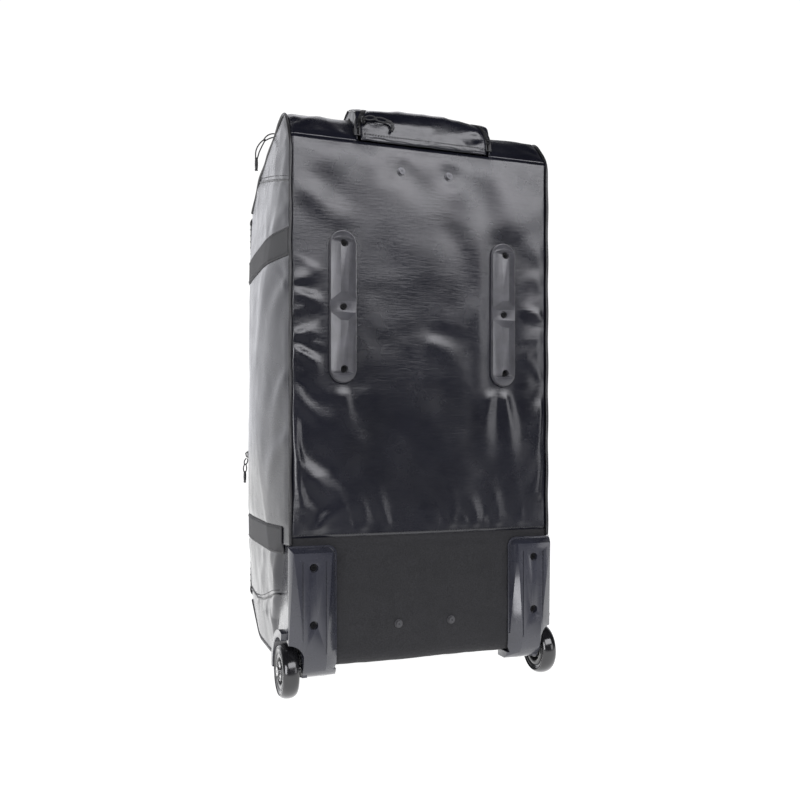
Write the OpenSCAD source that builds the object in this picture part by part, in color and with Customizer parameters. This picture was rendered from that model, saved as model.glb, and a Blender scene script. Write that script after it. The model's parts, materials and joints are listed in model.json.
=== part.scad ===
// Wheeled snow gear bag, standing upright on two rear wheels and two front feet.
// Frame: X across the bag, -Y towards the wheeled back with its skid rails, +Y towards
// the lid, +Z up, origin on the floor under the middle of the bag.
// Inside the modules "depth" is measured from the back panel towards the lid.

/* [Bag] */
// Width over the side seams
bag_w = 410; // [390:1:430]
// Depth from the back panel to the split between bag and lid
split_depth = 322; // [318:1:330]
// Height of the underside of the bag above the floor
base_z = 42; // [40:1:46]
// Height of the seam at the head of the back panel
head_seam_z = 807; // [800:1:812]
// Height of the seam between the base fabric and the back panel
foot_seam_z = 232; // [228:1:240]
// How far a packed side stands out past its seams
side_bulge = 25; // [15:1:30]
// Thickness of the coated fabric panels
fabric_t = 2; // [1.5:0.1:2.5]

/* [Lid] */
// Depth of the lid tray at its middle
lid_crown = 34; // [26:1:38]
// Corner radius of the lid

/* [Wheels] */
// Wheel radius
wheel_r = 39; // [36:0.5:40]
// Wheel width
wheel_w = 24; // [20:1:26]
// Depth of the axle behind the back panel
axle_depth = 24; // [22:1:28]
// Axle radius
axle_r = 3.95; // [3.9:0.01:3.97]

/* [Trolley] */
// Half the spacing of the trolley tubes
tube_x = 62; // [56:1:66]
// Depth of the tube centres behind the back panel
tube_depth = 22; // [21:1:24]
// Outer radius of the fixed tubes
tube_r = 9.5; // [9:0.1:10]
// Wall of every tube
tube_wall = 1; // [0.8:0.1:1.2]

/* [Skid rails] */
// Distance of each rail from the middle of the back
rail_x = 128; // [120:1:134]
// Length of a rail
rail_len = 220; // [200:1:230]
// Width of a rail
rail_w = 40; // [36:1:44]
// Height of a rail above the back panel
rail_t = 12; // [10:1:14]

/* [Hidden] */
$fn = 48;

back_y = -173;              // row Y of the back panel's outer face
half_w = bag_w / 2;
ridge = [40, 854];          // depth and height of the ridge at the head of the bag
crest = [245, 806];         // where the head starts to fall to the lid
toe = [235, base_z];        // where the base starts to rise to the lid
rim_depth = split_depth - 10;
rim_top = 766;
rim_base = 94;
wheel_z = wheel_r;
housing_inner = 137;        // inner edge of the wheel housing
housing_sill = 31;          // its lowest point
well_r = wheel_r + 9;       // wheel well, with room for grit
lip_r = well_r + 11;
well_in_x = half_w - 17;    // inner wall of the wheel well
housing_top = 221;
housing_t = 16;
screw_r = 2.5;
head_r = 4.2;
rail_bore_r = 5.6;
housing_bore_r = 6.2;
rail_z = 564;
rail_screw_pitch = 90.5;
housing_screw_x = 174;
housing_screw_z = [110, 191];
cup_screw_x = 38;
cup_screw_z = 769;
bracket_screw_x = 42;
bracket_screw_z = 100;
board_depth = 2.4;          // back board, behind the back panel
board_t = 2.4;
cup_z = 755;                // floor of the recess that the trolley grip sits in
cup_t = 6;
cup_back_z = 845;           // walls of the recess, at its back and its front
cup_front_z = 800;
slide_gap = 0.1;            // radial clearance between one tube and the next
mid_r = tube_r - tube_wall - slide_gap;
inner_r = mid_r - tube_wall - slide_gap;
grip_half = 75;
grip_low = 768;
grip_high = 792;
pocket_x = 103;             // half the width of the trolley pocket
flap_top = 865.5;
flap_edge = [44, flap_top];
top_handle_depth = 190;
foot_x = 110;
foot_depth = 196;
strap_z = [227, 655];
strap_w = 40;
strap_start = [26, 3];      // depth where each strap starts, clear of the wheel housing
piping_r = 2.2;
cord_r = 1;

head_tilt = atan2(ridge[1] - crest[1], crest[0] - ridge[0]);
function head_z(depth) = ridge[1] - (depth - ridge[0]) * tan(head_tilt); // height of the head at a depth

side_centre = [165, 440];
// Convex side outline, bag part only
hull_outline = [
    [0, base_z], toe, [rim_depth, rim_base - 3], [rim_depth, rim_top + 2], crest, ridge,
    [0, head_seam_z]
];

// ---- helpers ---------------------------------------------------------------

function unit_normal(p, q) = let (d = q - p) [-d[1], d[0]] / norm(d);
function bend_normal(path, i) = let (
        before = unit_normal(path[max(i - 1, 0)], path[max(i, 1)]),
        last = len(path) - 1,
        after = unit_normal(path[min(i, last - 1)], path[min(i + 1, last)]),
        mid = (before + after) / norm(before + after)
    ) mid / (mid * before);
function shifted(path, t) = [for (i = [0:len(path) - 1]) path[i] + bend_normal(path, i) * t];
function reversed(list) = [for (i = [len(list) - 1:-1:0]) list[i]];
// A strip of thickness t on the left-hand side of a path
function strip(path, t, start = 0) = concat(shifted(path, start), reversed(shifted(path, start + t)));
function bezier(a, b, c, u) = a * (1 - u) ^ 2 + b * 2 * u * (1 - u) + c * u ^ 2;
function towards(p, q, d) = p + (q - p) * min(d / norm(q - p), 0.45);
// A path with each inner corner rounded over the distance r
function rounded(path, r, steps = 5) = [
    for (i = [0:len(path) - 1])
        if (i == 0 || i == len(path) - 1) path[i]
        else for (k = [0:steps])
            bezier(towards(path[i], path[i - 1], r), path[i], towards(path[i], path[i + 1], r), k / steps)
];
// A closed outline, resampled to short steps
function dense(outline, step) = [
    for (i = [0:len(outline) - 1])
        let (p = outline[i], q = outline[(i + 1) % len(outline)], n = max(1, round(norm(q - p) / step)))
        for (k = [0:n - 1]) p + (q - p) * k / n
];
function round_rect(w, h, r, n = 6) = [
    for (c = [0:3]) for (k = [0:n])
        let (sx = (c == 0 || c == 3) ? 1 : -1, sz = c < 2 ? 1 : -1, a = 90 * c + 90 * k / n)
        [sx * (w / 2 - r) + r * cos(a), sz * (h / 2 - r) + r * sin(a)]
];
// 0 at the centre, 1 on the edge of a convex counter-clockwise outline
function gauge(p, outline, c) = max([
    for (i = [0:len(outline) - 1])
        let (a = outline[i], b = outline[(i + 1) % len(outline)], n = -unit_normal(a, b))
        (n * (p - c)) / (n * (a - c))
]);
function side_out(p) = half_w + side_bulge * max(0, 1 - gauge(p, hull_outline, side_centre) ^ 2) ^ 1.4;

module along_x(x0, x1) {
    translate([x0, 0, 0]) rotate([90, 0, 90]) linear_extrude(x1 - x0) children();
}
// Extrudes an outline drawn in X and Z from depth y0 to depth y1
module along_y(y0, y1) {
    translate([0, y1, 0]) rotate([90, 0, 0]) linear_extrude(y1 - y0) children();
}
module bag() {
    translate([0, back_y, 0]) children();
}
module both_sides() {
    children();
    mirror([1, 0, 0]) children();
}
module side(s) {
    if (s > 0) children();
    else mirror([1, 0, 0]) children();
}
// A hole or rod along the depth, at x and z
module peg(x, z, r, y0, y1) {
    translate([x, y1, z]) rotate([90, 0, 0]) cylinder(r = r, h = y1 - y0);
}
// A thin shell over a star-shaped outline. The two lists hold its outer and inner rings.
module shell(rings_out, rings_in) {
    n = len(rings_out[1]);
    m = len(rings_out) - 1;
    base = 1 + m * n;
    function at(j, i) = j == 0 ? 0 : 1 + (j - 1) * n + (i % n);
    points = concat(
        [rings_out[0][0]], [for (j = [1:m]) each rings_out[j]],
        [rings_in[0][0]], [for (j = [1:m]) each rings_in[j]]
    );
    faces = concat(
        [for (i = [0:n - 1]) [0, at(1, i + 1), at(1, i)]],
        [for (i = [0:n - 1]) [base, base + at(1, i), base + at(1, i + 1)]],
        [for (j = [1:m - 1], i = [0:n - 1], h = [0, 1])
            h == 0 ? [at(j, i), at(j, i + 1), at(j + 1, i + 1)] : [at(j, i), at(j + 1, i + 1), at(j + 1, i)]],
        [for (j = [1:m - 1], i = [0:n - 1], h = [0, 1])
            h == 0 ? [base + at(j, i), base + at(j + 1, i + 1), base + at(j, i + 1)]
                   : [base + at(j, i), base + at(j + 1, i), base + at(j + 1, i + 1)]],
        [for (i = [0:n - 1], h = [0, 1])
            h == 0 ? [at(m, i), at(m, i + 1), base + at(m, i + 1)] : [at(m, i), base + at(m, i + 1), base + at(m, i)]]
    );
    polyhedron(points, faces);
}
// A round cord through a list of points
module cord(route, r, sides = 8) {
    n = len(route);
    function dir(i) = let (d = route[min(i + 1, n - 1)] - route[max(i - 1, 0)]) d / norm(d);
    function across(i) = let (c = cross(dir(i), [0.12, 0.93, 0.35])) c / norm(c);
    function ring(i) = let (d = dir(i), u = across(i), v = cross(d, u))
        [for (k = [0:sides - 1]) route[i] + r * (u * cos(360 * k / sides) + v * sin(360 * k / sides))];
    polyhedron(
        [for (i = [0:n - 1]) each ring(i)],
        concat(
            [[for (k = [0:sides - 1]) k]],
            [for (i = [0:n - 2], k = [0:sides - 1])
                let (a = i * sides, b = a + sides, l = (k + 1) % sides) [a + k, b + k, b + l, a + l]],
            [[for (k = [sides - 1:-1:0]) (n - 1) * sides + k]]
        )
    );
}
function smooth_route(pts, steps = 4) = concat(
    [pts[0]],
    [for (i = [1:len(pts) - 2]) for (k = [0:steps - 1])
        bezier((pts[i - 1] + pts[i]) / 2, pts[i], (pts[i] + pts[i + 1]) / 2, (k + 0.5) / steps)],
    [pts[len(pts) - 1]]
);

// ---- fabric body -----------------------------------------------------------

module screw_clearance(r, y0, y1) {
    for (sx = [-1, 1]) {
        for (k = [-1, 0, 1]) peg(sx * rail_x, rail_z + k * rail_screw_pitch, r, y0, y1);
        for (z = housing_screw_z) peg(sx * housing_screw_x, z, r, y0, y1);
        peg(sx * cup_screw_x, cup_screw_z, r, y0, y1);
        peg(sx * bracket_screw_x, bracket_screw_z, r, y0, y1);
    }
}
module back_panel() {
    color([0.16, 0.16, 0.18]) bag() difference() {
        along_y(0, fabric_t) polygon([
            [-half_w + 3, foot_seam_z], [half_w - 3, foot_seam_z],
            [half_w - 3, head_seam_z - 1.5], [-half_w + 3, head_seam_z - 1.5]
        ]);
        screw_clearance(screw_r + 0.2, -1, 4);
    }
}
module back_board() {
    color([0.1, 0.1, 0.1]) bag() difference() {
        translate([-half_w + 12, board_depth, 104]) cube([bag_w - 24, board_t, 688]);
        screw_clearance(screw_r + 0.2, 0, 8);
        for (sx = [-1, 1]) translate([sx * half_w, 0, 104]) cube([2 * 24, 20, 30], center = true);
    }
}
base_path = rounded([[0, foot_seam_z - 0.2], [0, base_z], toe, [rim_depth, rim_base - 3]], 22);
top_path = rounded([[rim_depth, rim_top + 2], crest, ridge, [0, head_seam_z + 0.2]], 26);
module well_corner(grow) {
    translate([half_w - 26 - grow, -30, -5])
        cube([60, 30 + axle_depth + lip_r + grow, wheel_z + lip_r + grow + 5]);
}
module base_panel() {
    color([0.13, 0.13, 0.14]) bag() difference() {
        along_x(-half_w + 3, half_w - 3) polygon(strip(base_path, fabric_t));
        both_sides() well_corner(0.3);
        screw_clearance(screw_r + 0.2, -1, 4);
        for (sx = [-1, 1], k = [-1, 1])
            translate([sx * foot_x + k * 18, foot_depth, base_z - 5]) cylinder(r = screw_r + 0.2, h = 20);
    }
}
module base_board() {
    color([0.1, 0.1, 0.1]) bag() difference() {
        translate([-half_w + 12, 24, base_z + fabric_t + 0.1]) cube([bag_w - 24, 187, 2.4]);
        both_sides() well_corner(1);
        for (sx = [-1, 1], k = [-1, 1])
            translate([sx * foot_x + k * 18, foot_depth, base_z - 5]) cylinder(r = screw_r + 0.2, h = 20);
    }
}
module top_panel() {
    color([0.16, 0.16, 0.18]) bag() difference() {
        along_x(-half_w + 3, half_w - 3) polygon(strip(top_path, fabric_t));
        translate([-pocket_x - 2, -10, 780]) cube([2 * pocket_x + 4, 72, 100]);
    }
}
side_outline = concat(
    [[0, housing_top + 1], [20, housing_top + 1], [52, 142], [axle_depth + lip_r + 1.5, wheel_z + lip_r + 1],
     [axle_depth + lip_r + 1.5, base_z]],
    rounded([[200, base_z], toe, [rim_depth, rim_base - 3]], 22),
    rounded([[rim_depth, rim_top + 2], crest, ridge, [0, head_seam_z]], 26)
);
module side_panel() {
    rings = 7;
    edge = dense(side_outline, 38);
    function skin(v, lift) = [
        for (p = edge) let (q = side_centre + (p - side_centre) * v) [side_out(q) + lift, q[0], q[1]]
    ];
    bag() shell(
        [for (j = [0:rings]) skin(j / rings, 0)],
        [for (j = [0:rings]) skin(j / rings, -fabric_t)]
    );
}
module piping() {
    bag() {
        translate([half_w + 0.9, -2.1, housing_top + 3])
            cylinder(r = piping_r, h = head_seam_z - housing_top - 3);
        along_x(half_w - 2 * piping_r, half_w + 2)
            polygon(strip(rounded([[0, head_seam_z], ridge, ridge + 24 * [1, -tan(head_tilt)]], 14), 2 * piping_r, 0.3));
    }
}
// Flat webbing sewn across a side panel, following its bulge
module side_strap(i_strap) {
    steps = 14;
    rows = 2;
    z = strap_z[i_strap];
    d0 = strap_start[i_strap];
    d1 = rim_depth - 6;
    function at(i, j, lift) = let (p = [d0 + (d1 - d0) * i / steps, z - strap_w / 2 + strap_w * j / rows])
        [side_out(p) + lift, p[0], p[1]];
    quad_rows = [for (i = [0:steps]) concat(
        [for (j = [0:rows]) at(i, j, 1.9)], [for (j = [rows:-1:0]) at(i, j, 3.4)])];
    w = 2 * (rows + 1);
    bag() polyhedron(
        [for (r = quad_rows) each r],
        concat(
            [for (i = [0, steps], j = [0:rows - 1], h = [0, 1])
                let (a = i * w + j, b = i * w + w - 1 - j, t = h == 0 ? [a, a + 1, b] : [a + 1, b - 1, b])
                i == 0 ? t : reversed(t)],
            [for (i = [0:steps - 1], k = [0:w - 1], h = [0, 1])
                let (a = i * w, b = a + w, l = (k + 1) % w)
                h == 0 ? [a + k, b + k, b + l] : [a + k, b + l, a + l]]
        )
    );
}

// ---- lid and main zip ------------------------------------------------------

rim_w = bag_w + 1;
rim_h = rim_top - rim_base;
rim_mid = (rim_top + rim_base) / 2;
module rim_ring(grow, y0, y1, band) {
    translate([0, 0, rim_mid]) along_y(y0, y1) difference() {
        polygon(round_rect(rim_w + 2 * grow, rim_h + 2 * grow, 12));
        polygon(round_rect(rim_w + 2 * grow - 2 * band, rim_h + 2 * grow - 2 * band, 10));
    }
}
module opening_rim() {
    color([0.12, 0.12, 0.13]) bag() rim_ring(0, rim_depth + 0.3, split_depth - 2.4, 4);
}
// The zip runs round three sides, and the fourth is the fabric hinge
module zip_sides() {
    difference() {
        children();
        translate([half_w - 8, 0, rim_base + 10]) cube([20, 500, rim_h - 20]);
    }
}
module main_zip_bag_teeth() {
    color([0.06, 0.06, 0.06]) bag() zip_sides() rim_ring(0.8, split_depth - 2.3, split_depth - 0.3, 4);
}
module main_zip_lid_teeth() {
    color([0.06, 0.06, 0.06]) bag() zip_sides() rim_ring(0.8, split_depth + 0.1, split_depth + 2.1, 4);
}
module lid_shell() {
    rings = 9;
    edge = dense(round_rect(rim_w, rim_h, 16, 4), 45);
    function crown(v) = (lid_crown - 6) * (1 - v ^ 10) ^ 0.5 + 6 * (1 - v ^ 2);
    function reach(j) = 1 - (1 - j / rings) ^ 1.7;
    function skin(inset, lift) = [
        for (j = [0:rings]) let (v = reach(j))
            [for (p = edge) [
                max(0, crown(v) + lift), p[0] * v * (1 - 2 * inset / rim_w), p[1] * v * (1 - 2 * inset / rim_h)
            ]]
    ];
    color([0.17, 0.17, 0.19]) bag() translate([0, split_depth + 2.3, rim_mid]) rotate([0, 0, 90])
        shell(skin(0, 0), skin(2.4, -fabric_t));
}
lid_face = split_depth + 2.3 + lid_crown;
module lid_pocket() {
    color([0.15, 0.15, 0.17]) bag() translate([0, 0, 300])
        along_y(lid_face + 0.3, lid_face + 4) polygon(round_rect(300, 250, 30));
}
module lid_pocket_zip() {
    color([0.06, 0.06, 0.06]) bag() translate([-140, lid_face + 0.3, 432]) cube([280, 4, 12]);
}

// ---- zip sliders and their cord pulls --------------------------------------

module slider(len = 14) {
    hull() {
        cube([len, 9, 2.4], center = true);
        translate([0, 0, 1.4]) cube([len - 4, 5, 1.6], center = true);
    }
    translate([0, 0, 3.2]) rotate([0, 90, 0]) difference() {
        cylinder(r = 2.6, h = 5, center = true);
        cylinder(r = 1.3, h = 6, center = true);
    }
}
// A moulded toggle hanging from the end of its cord
module toggle() {
    translate([0, 0, -16]) cylinder(r = 2.6, h = 16, $fn = 24);
}
// A moulded sleeve that keeps its cord in a bend
module bent_sleeve(bend_r, r, angle) {
    rotate_extrude(angle = angle) translate([bend_r, 0]) circle(r = r, $fn = 24);
}
main_slider_z = 345;
main_slider_x = -half_w - 4.6;
module main_zip_slider() {
    color([0.08, 0.08, 0.08]) bag() translate([main_slider_x, split_depth - 0.2, main_slider_z])
        rotate([0, -90, 0]) slider();
}
main_pull_route = smooth_route([
    [-213, 322, 338], [-215, 322, 332], [-216, 323, 326], [-216.5, 323, 320], [-216.5, 323, 314]
]);
module main_pull_cord() {
    color([0.05, 0.05, 0.05]) bag() cord(main_pull_route, cord_r);
}
module main_pull_grip() {
    color([0.08, 0.08, 0.08]) bag() translate([-216.5, 323, 313.9]) toggle();
}
end_zip_depth = 130;
end_zip_z = head_z(end_zip_depth) + 3.6;
module end_zip() {
    color([0.06, 0.06, 0.06]) bag() translate([-half_w + 14, end_zip_depth, end_zip_z])
        rotate([-head_tilt, 0, 0]) translate([0, -7, 0]) cube([bag_w - 28, 14, 2]);
}
module end_zip_slider() {
    color([0.08, 0.08, 0.08]) bag() translate([-half_w + 16, end_zip_depth, end_zip_z + 4.2])
        rotate([-head_tilt, 0, 0]) rotate([0, 0, 90]) slider();
}
end_pull_route = smooth_route([
    [-194, 131, 845], [-202, 131, 847], [-212, 132, 843], [-221, 133, 833], [-227, 134, 821], [-229, 135, 809]
]);
module end_pull_cord() {
    color([0.05, 0.05, 0.05]) bag() cord(end_pull_route, cord_r);
}
module end_pull_grip() {
    color([0.08, 0.08, 0.08]) bag() translate([-229, 135, 808.5]) toggle();
}

// ---- trolley handle --------------------------------------------------------

module tube(r, z0, z1) {
    for (sx = [-1, 1]) translate([sx * tube_x, tube_depth, z0]) difference() {
        cylinder(r = r, h = z1 - z0);
        translate([0, 0, -1]) cylinder(r = r - tube_wall, h = z1 - z0 + 2);
    }
}
module trolley_outer_tubes() {
    color("silver") bag() tube(tube_r, 93, cup_z);
}
module trolley_mid_tubes() {
    color("silver") bag() tube(mid_r, 150, cup_z + cup_t + 1);
}
module trolley_inner_tubes() {
    color("silver") bag() tube(inner_r, 230, grip_low);
}
module trolley_cup() {
    color([0.1, 0.1, 0.1]) bag() difference() {
        union() {
            translate([-pocket_x + 2, 5, cup_z]) cube([2 * pocket_x - 4, 54, cup_t]);
            translate([-pocket_x + 2, 56, cup_z]) cube([2 * pocket_x - 4, 3, cup_back_z - cup_z]);
            translate([-pocket_x + 2, 5, cup_z]) cube([2 * pocket_x - 4, 3, 45]);
            for (sx = [-1, 1]) along_x(sx * (pocket_x - 3.5) - 1.5, sx * (pocket_x - 3.5) + 1.5)
                polygon([[5, cup_z], [59, cup_z], [59, cup_back_z], [40, cup_back_z - 2], [5, cup_front_z]]);
        }
        for (sx = [-1, 1]) {
            translate([sx * tube_x, tube_depth, cup_z - 1]) cylinder(r = mid_r + slide_gap, h = cup_t + 2);
            peg(sx * cup_screw_x, cup_screw_z, screw_r + 0.05, 0, 14);
        }
    }
}
module trolley_lower_bracket() {
    color([0.1, 0.1, 0.1]) bag() difference() {
        translate([-80, 5, 84]) cube([160, 31, 34]);
        for (sx = [-1, 1]) {
            translate([sx * tube_x, tube_depth, 92]) cylinder(r = tube_r + 0.05, h = 40);
            peg(sx * bracket_screw_x, bracket_screw_z, screw_r + 0.05, 0, 14);
        }
        translate([-44, 14, 80]) cube([88, 30, 50]);
    }
}
module trolley_grip() {
    color([0.1, 0.1, 0.1]) bag() difference() {
        union() {
            hull() for (y = [15, 29], z = [grip_low + 6, grip_high - 6])
                translate([-grip_half, y, z]) rotate([0, 90, 0]) cylinder(r = 6, h = 2 * grip_half, $fn = 32);
            for (sx = [-1, 1]) translate([sx * tube_x, tube_depth, cup_z + cup_t + 1.5])
                cylinder(r = 10, h = 12);
        }
        translate([-14.4, 13.6, grip_high - 10]) cube([28.8, 16.8, 20]);
        for (sx = [-1, 1]) translate([sx * tube_x, tube_depth, cup_z + cup_t])
            cylinder(r = inner_r + 0.02, h = grip_low - cup_z - cup_t + 0.02);
    }
}
module trolley_button() {
    color([0.2, 0.2, 0.2]) bag() translate([-14, 14, grip_high - 6]) cube([28, 16, 9]);
}

// ---- trolley pocket --------------------------------------------------------

flap_path = rounded([[0, head_seam_z + 1.5], [0, 838], [8, 855], flap_edge], 20, 4);
hood_path = rounded([[46, flap_top], [58, flap_top - 2], [96, head_z(96) + 2.4]], 16);
// Outline of the flap's free edge as seen from behind: its upper corners are rounded
function flap_outline(grow) = let (w = pocket_x - 26, z = 828, top = flap_top + 0.2) concat(
    [[-pocket_x - grow, 700], [-pocket_x - grow, z]],
    [for (k = [1:7]) [-w - (26 + grow) * cos(90 * k / 8), z + (top - z + grow) * sin(90 * k / 8)]],
    [[-w, 900], [w, 900]],
    [for (k = [7:-1:1]) [w + (26 + grow) * cos(90 * k / 8), z + (top - z + grow) * sin(90 * k / 8)]],
    [[pocket_x + grow, z], [pocket_x + grow, 700]]
);
module within(grow) {
    intersection() {
        children();
        along_y(-20, 60) polygon(flap_outline(grow));
    }
}
module beyond(grow) {
    difference() {
        children();
        along_y(-20, 60) polygon(flap_outline(grow));
    }
}
// The fabric skin that the flap and the corners beside it are cut from
module flap_skin(t0, t1) {
    along_x(-pocket_x - 2, pocket_x + 2) polygon(strip(flap_path, t1, t0));
}
module pocket_hood() {
    color([0.16, 0.16, 0.18]) bag() {
        along_x(-pocket_x - 3, pocket_x + 3) polygon(strip(hood_path, -fabric_t));
        beyond(0.6) flap_skin(0.01 + fabric_t, -fabric_t);
        for (sx = [-1, 1]) along_x(sx * (pocket_x + 2) - 1, sx * (pocket_x + 2) + 1)
            polygon([
                [0.4, head_seam_z + 5], for (p = shifted(flap_path, -0.4)) if (p[1] > head_seam_z + 6) p,
                [48, flap_top - 1], [57.4, flap_top - 3], [94, head_z(94) + 1.8], [42, ridge[1] + 0.4]
            ]);
    }
}
// Teeth run up both sides of the flap, round its corners and along its ridge
module flap_zip_teeth() {
    color([0.06, 0.06, 0.06]) bag() {
        beyond(-4) within(-0.1) flap_skin(-0.02, -1.4);
        along_x(-pocket_x + 30, pocket_x - 30)
            polygon(strip([flap_edge - [5.8, 1.7], flap_edge + [0.9, 0.26]], -1.4, -0.05));
    }
}
module hood_zip_teeth() {
    color([0.06, 0.06, 0.06]) bag() {
        difference() {
            within(4.4) beyond(0.7) along_x(-pocket_x - 4.8, pocket_x + 4.8) polygon(strip(flap_path, 1.4, 2.1));
            translate([-150, -20, 700]) cube([300, 60, head_seam_z + 8 - 700]);
        }
        along_x(-pocket_x + 27, pocket_x - 27) polygon([
            [46.4, flap_top + 0.1], [51, flap_top + 0.1], [51, flap_top + 1.4], [46.4, flap_top + 1.4]
        ]);
    }
}
module flap() {
    color([0.16, 0.16, 0.18]) bag()
        within(0) along_x(-pocket_x, pocket_x) polygon(strip(flap_path, -fabric_t, 0.01 + fabric_t));
}
module flap_zip_slider() {
    color([0.08, 0.08, 0.08]) bag() translate([-pocket_x + 4.9, -3.4, 838]) rotate([90, 0, 0]) rotate([0, 0, 90])
        slider(12);
}
flap_pull_route = smooth_route([
    [-93.4, -6, 838.4], [-88.5, -6, 839.4], [-82, -5, 840], [-76, -5, 840], [-69, -5, 839], [-62, -5, 838]
]);
module flap_pull_cord() {
    color([0.05, 0.05, 0.05]) bag() cord(flap_pull_route, cord_r);
}
module flap_pull_grip() {
    color([0.08, 0.08, 0.08]) bag() translate([-61.6, -5, 831]) rotate([90, 0, 0]) rotate([0, 0, -60])
        bent_sleeve(7, 2.2, 150);
}

// ---- skid rails ------------------------------------------------------------

module rail_outline(shrink) {
    r = rail_w / 2 - shrink;
    hull() for (k = [-1, 1]) translate([0, k * (rail_len / 2 - rail_w / 2)]) circle(r = r, $fn = 40);
}
module rail() {
    bag() translate([rail_x, 0, rail_z]) difference() {
        union() {
            along_y(-4, -0.1) rail_outline(0);
            hull() {
                along_y(-6, -4) rail_outline(1.5);
                along_y(-rail_t, -4) rail_outline(14.5);
            }
        }
        for (k = [-1, 0, 1]) translate([0, 0, k * rail_screw_pitch]) {
            peg(0, 0, screw_r + 0.1, -20, 2);
            peg(0, 0, rail_bore_r, -20, -4);
        }
        for (k = [-1, 1]) translate([0, -rail_t - 6, k * (rail_len / 2 - 8)])
            rotate([k * 38, 0, 0]) cube([rail_w, 10, 24], center = true);
        // flat recess with a ramp to each side, round the middle screw
        hull() {
            translate([0, -5.6, 0]) cube([rail_w + 2, 0.4, 16], center = true);
            translate([0, -rail_t - 1, 0]) cube([rail_w + 2, 0.4, 44], center = true);
        }
    }
}
module screw(x, z, head_y, tip_y) {
    peg(x, z, screw_r, head_y, tip_y);
    difference() {
        peg(x, z, head_r, head_y - 2.6, head_y);
        peg(x, z, 1.5, head_y - 3, head_y - 1.2);
    }
}
module rail_screws() {
    color("dimgray") bag() for (sx = [-1, 1], k = [-1, 0, 1])
        screw(sx * rail_x, rail_z + k * rail_screw_pitch, -4, 7);
}
module housing_screws() {
    color("dimgray") bag() for (sx = [-1, 1], z = housing_screw_z) screw(sx * housing_screw_x, z, -10, 7);
}
module trolley_screws() {
    washer_r = 6.2;
    color("dimgray") bag() for (sx = [-1, 1]) {
        screw(sx * cup_screw_x, cup_screw_z, -1, 7.8);
        peg(sx * cup_screw_x, cup_screw_z, washer_r, -1.1, -0.1);
        screw(sx * bracket_screw_x, bracket_screw_z, -1, 11);
        peg(sx * bracket_screw_x, bracket_screw_z, washer_r, -1.1, -0.1);
    }
}

// ---- wheel housings and wheels ---------------------------------------------

// Drawn for the +X side
// Outline of the housing against the bag, with its inner upper corner rounded
module housing_outline(z0, inset) {
    corner = 13;
    top = housing_top - inset;
    inner = housing_inner + inset;
    hull() {
        translate([inner, z0]) square([half_w + 3 - inner, 1]);
        translate([half_w + 2, top - 1]) square([1, 1]);
        translate([inner + corner, top - corner]) circle(r = corner);
    }
}
// The plateau narrows downward, so the facets beside it widen
module housing_plateau(z0) {
    polygon([
        [housing_inner + 18, z0], [half_w - 19, z0], [half_w - 15, 120], [half_w - 2, housing_top - 9],
        [housing_inner + 10, housing_top - 9], [housing_inner + 16, 150]
    ]);
}
// Side view of the housing's lower end, which rolls back under the bag
function housing_roll(t, z) = concat(
    [[-0.1, z + 1], [-t, z + 1]],
    [for (k = [0:6]) [12 - (12 + t) * cos(15 * k), z - (z - housing_sill) * sin(15 * k)]],
    [[34, housing_sill], [34, base_z - 0.2]]
);
module arch_plate(x0, x1, r) {
    along_x(x0, x1) intersection() {
        translate([axle_depth, wheel_z]) circle(r = r);
        polygon([[axle_depth - 30, 150], [150, 150], [150, 30], [axle_depth, 36]]);
    }
}
// The gap that the wheel stands in, as seen from behind
module wheel_gap() {
    top = 81;
    r = 18;
    polygon(concat(
        [[half_w + 60, top], [half_w + 60, -20], [well_in_x, -20]],
        [for (k = [0:8]) [well_in_x + r - r * cos(90 * k / 8), top - r + r * sin(90 * k / 8)]]
    ));
}
module wheel_housing() {
    sill = housing_sill;
    roll = 72;              // below this height the face rolls back under the bag
    bag() difference() {
        union() {
            along_y(-2.2, -0.1) housing_outline(roll, 0);
            hull() {
                along_y(-4, -2) housing_outline(roll, 2.4);
                along_y(-housing_t, -4) housing_plateau(roll);
            }
            difference() {
                hull() {
                    along_x(housing_inner, half_w + 3) polygon(housing_roll(2.2, roll));
                    along_x(housing_inner + 18, half_w - 19) polygon(housing_roll(housing_t, roll));
                }
                translate([0, -0.1, base_z - 0.1]) cube([300, 100, 100]);
            }
            // flank over the side panel
            along_x(half_w + 0.1, half_w + 2.8)
                polygon([[-2, sill + 1], [axle_depth + lip_r - 3, sill + 1], [axle_depth + lip_r - 3, 62],
                         [50, 142], [18, housing_top - 1], [-2, housing_top - 1]]);
            arch_plate(half_w - 25, half_w + 11, lip_r);
            translate([half_w - 24.5, -1, sill + 2]) cube([27, axle_depth + 20, wheel_z + lip_r - sill - 4]);
        }
        along_x(well_in_x, half_w + 40) translate([axle_depth, wheel_z]) circle(r = well_r);
        along_y(-60, axle_depth + 1) wheel_gap();
        translate([well_in_x - 20, axle_depth, wheel_z]) rotate([0, 90, 0]) cylinder(r = axle_r + 0.02, h = 60);
        for (z = housing_screw_z) {
            peg(housing_screw_x, z, screw_r + 0.1, -30, 4);
            peg(housing_screw_x, z, housing_bore_r, -30, -10);
        }
        for (x = [156, 190]) translate([x - 0.9, -housing_t - 1, 68]) cube([1.8, 2.2, 132]);
    }
}
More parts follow.
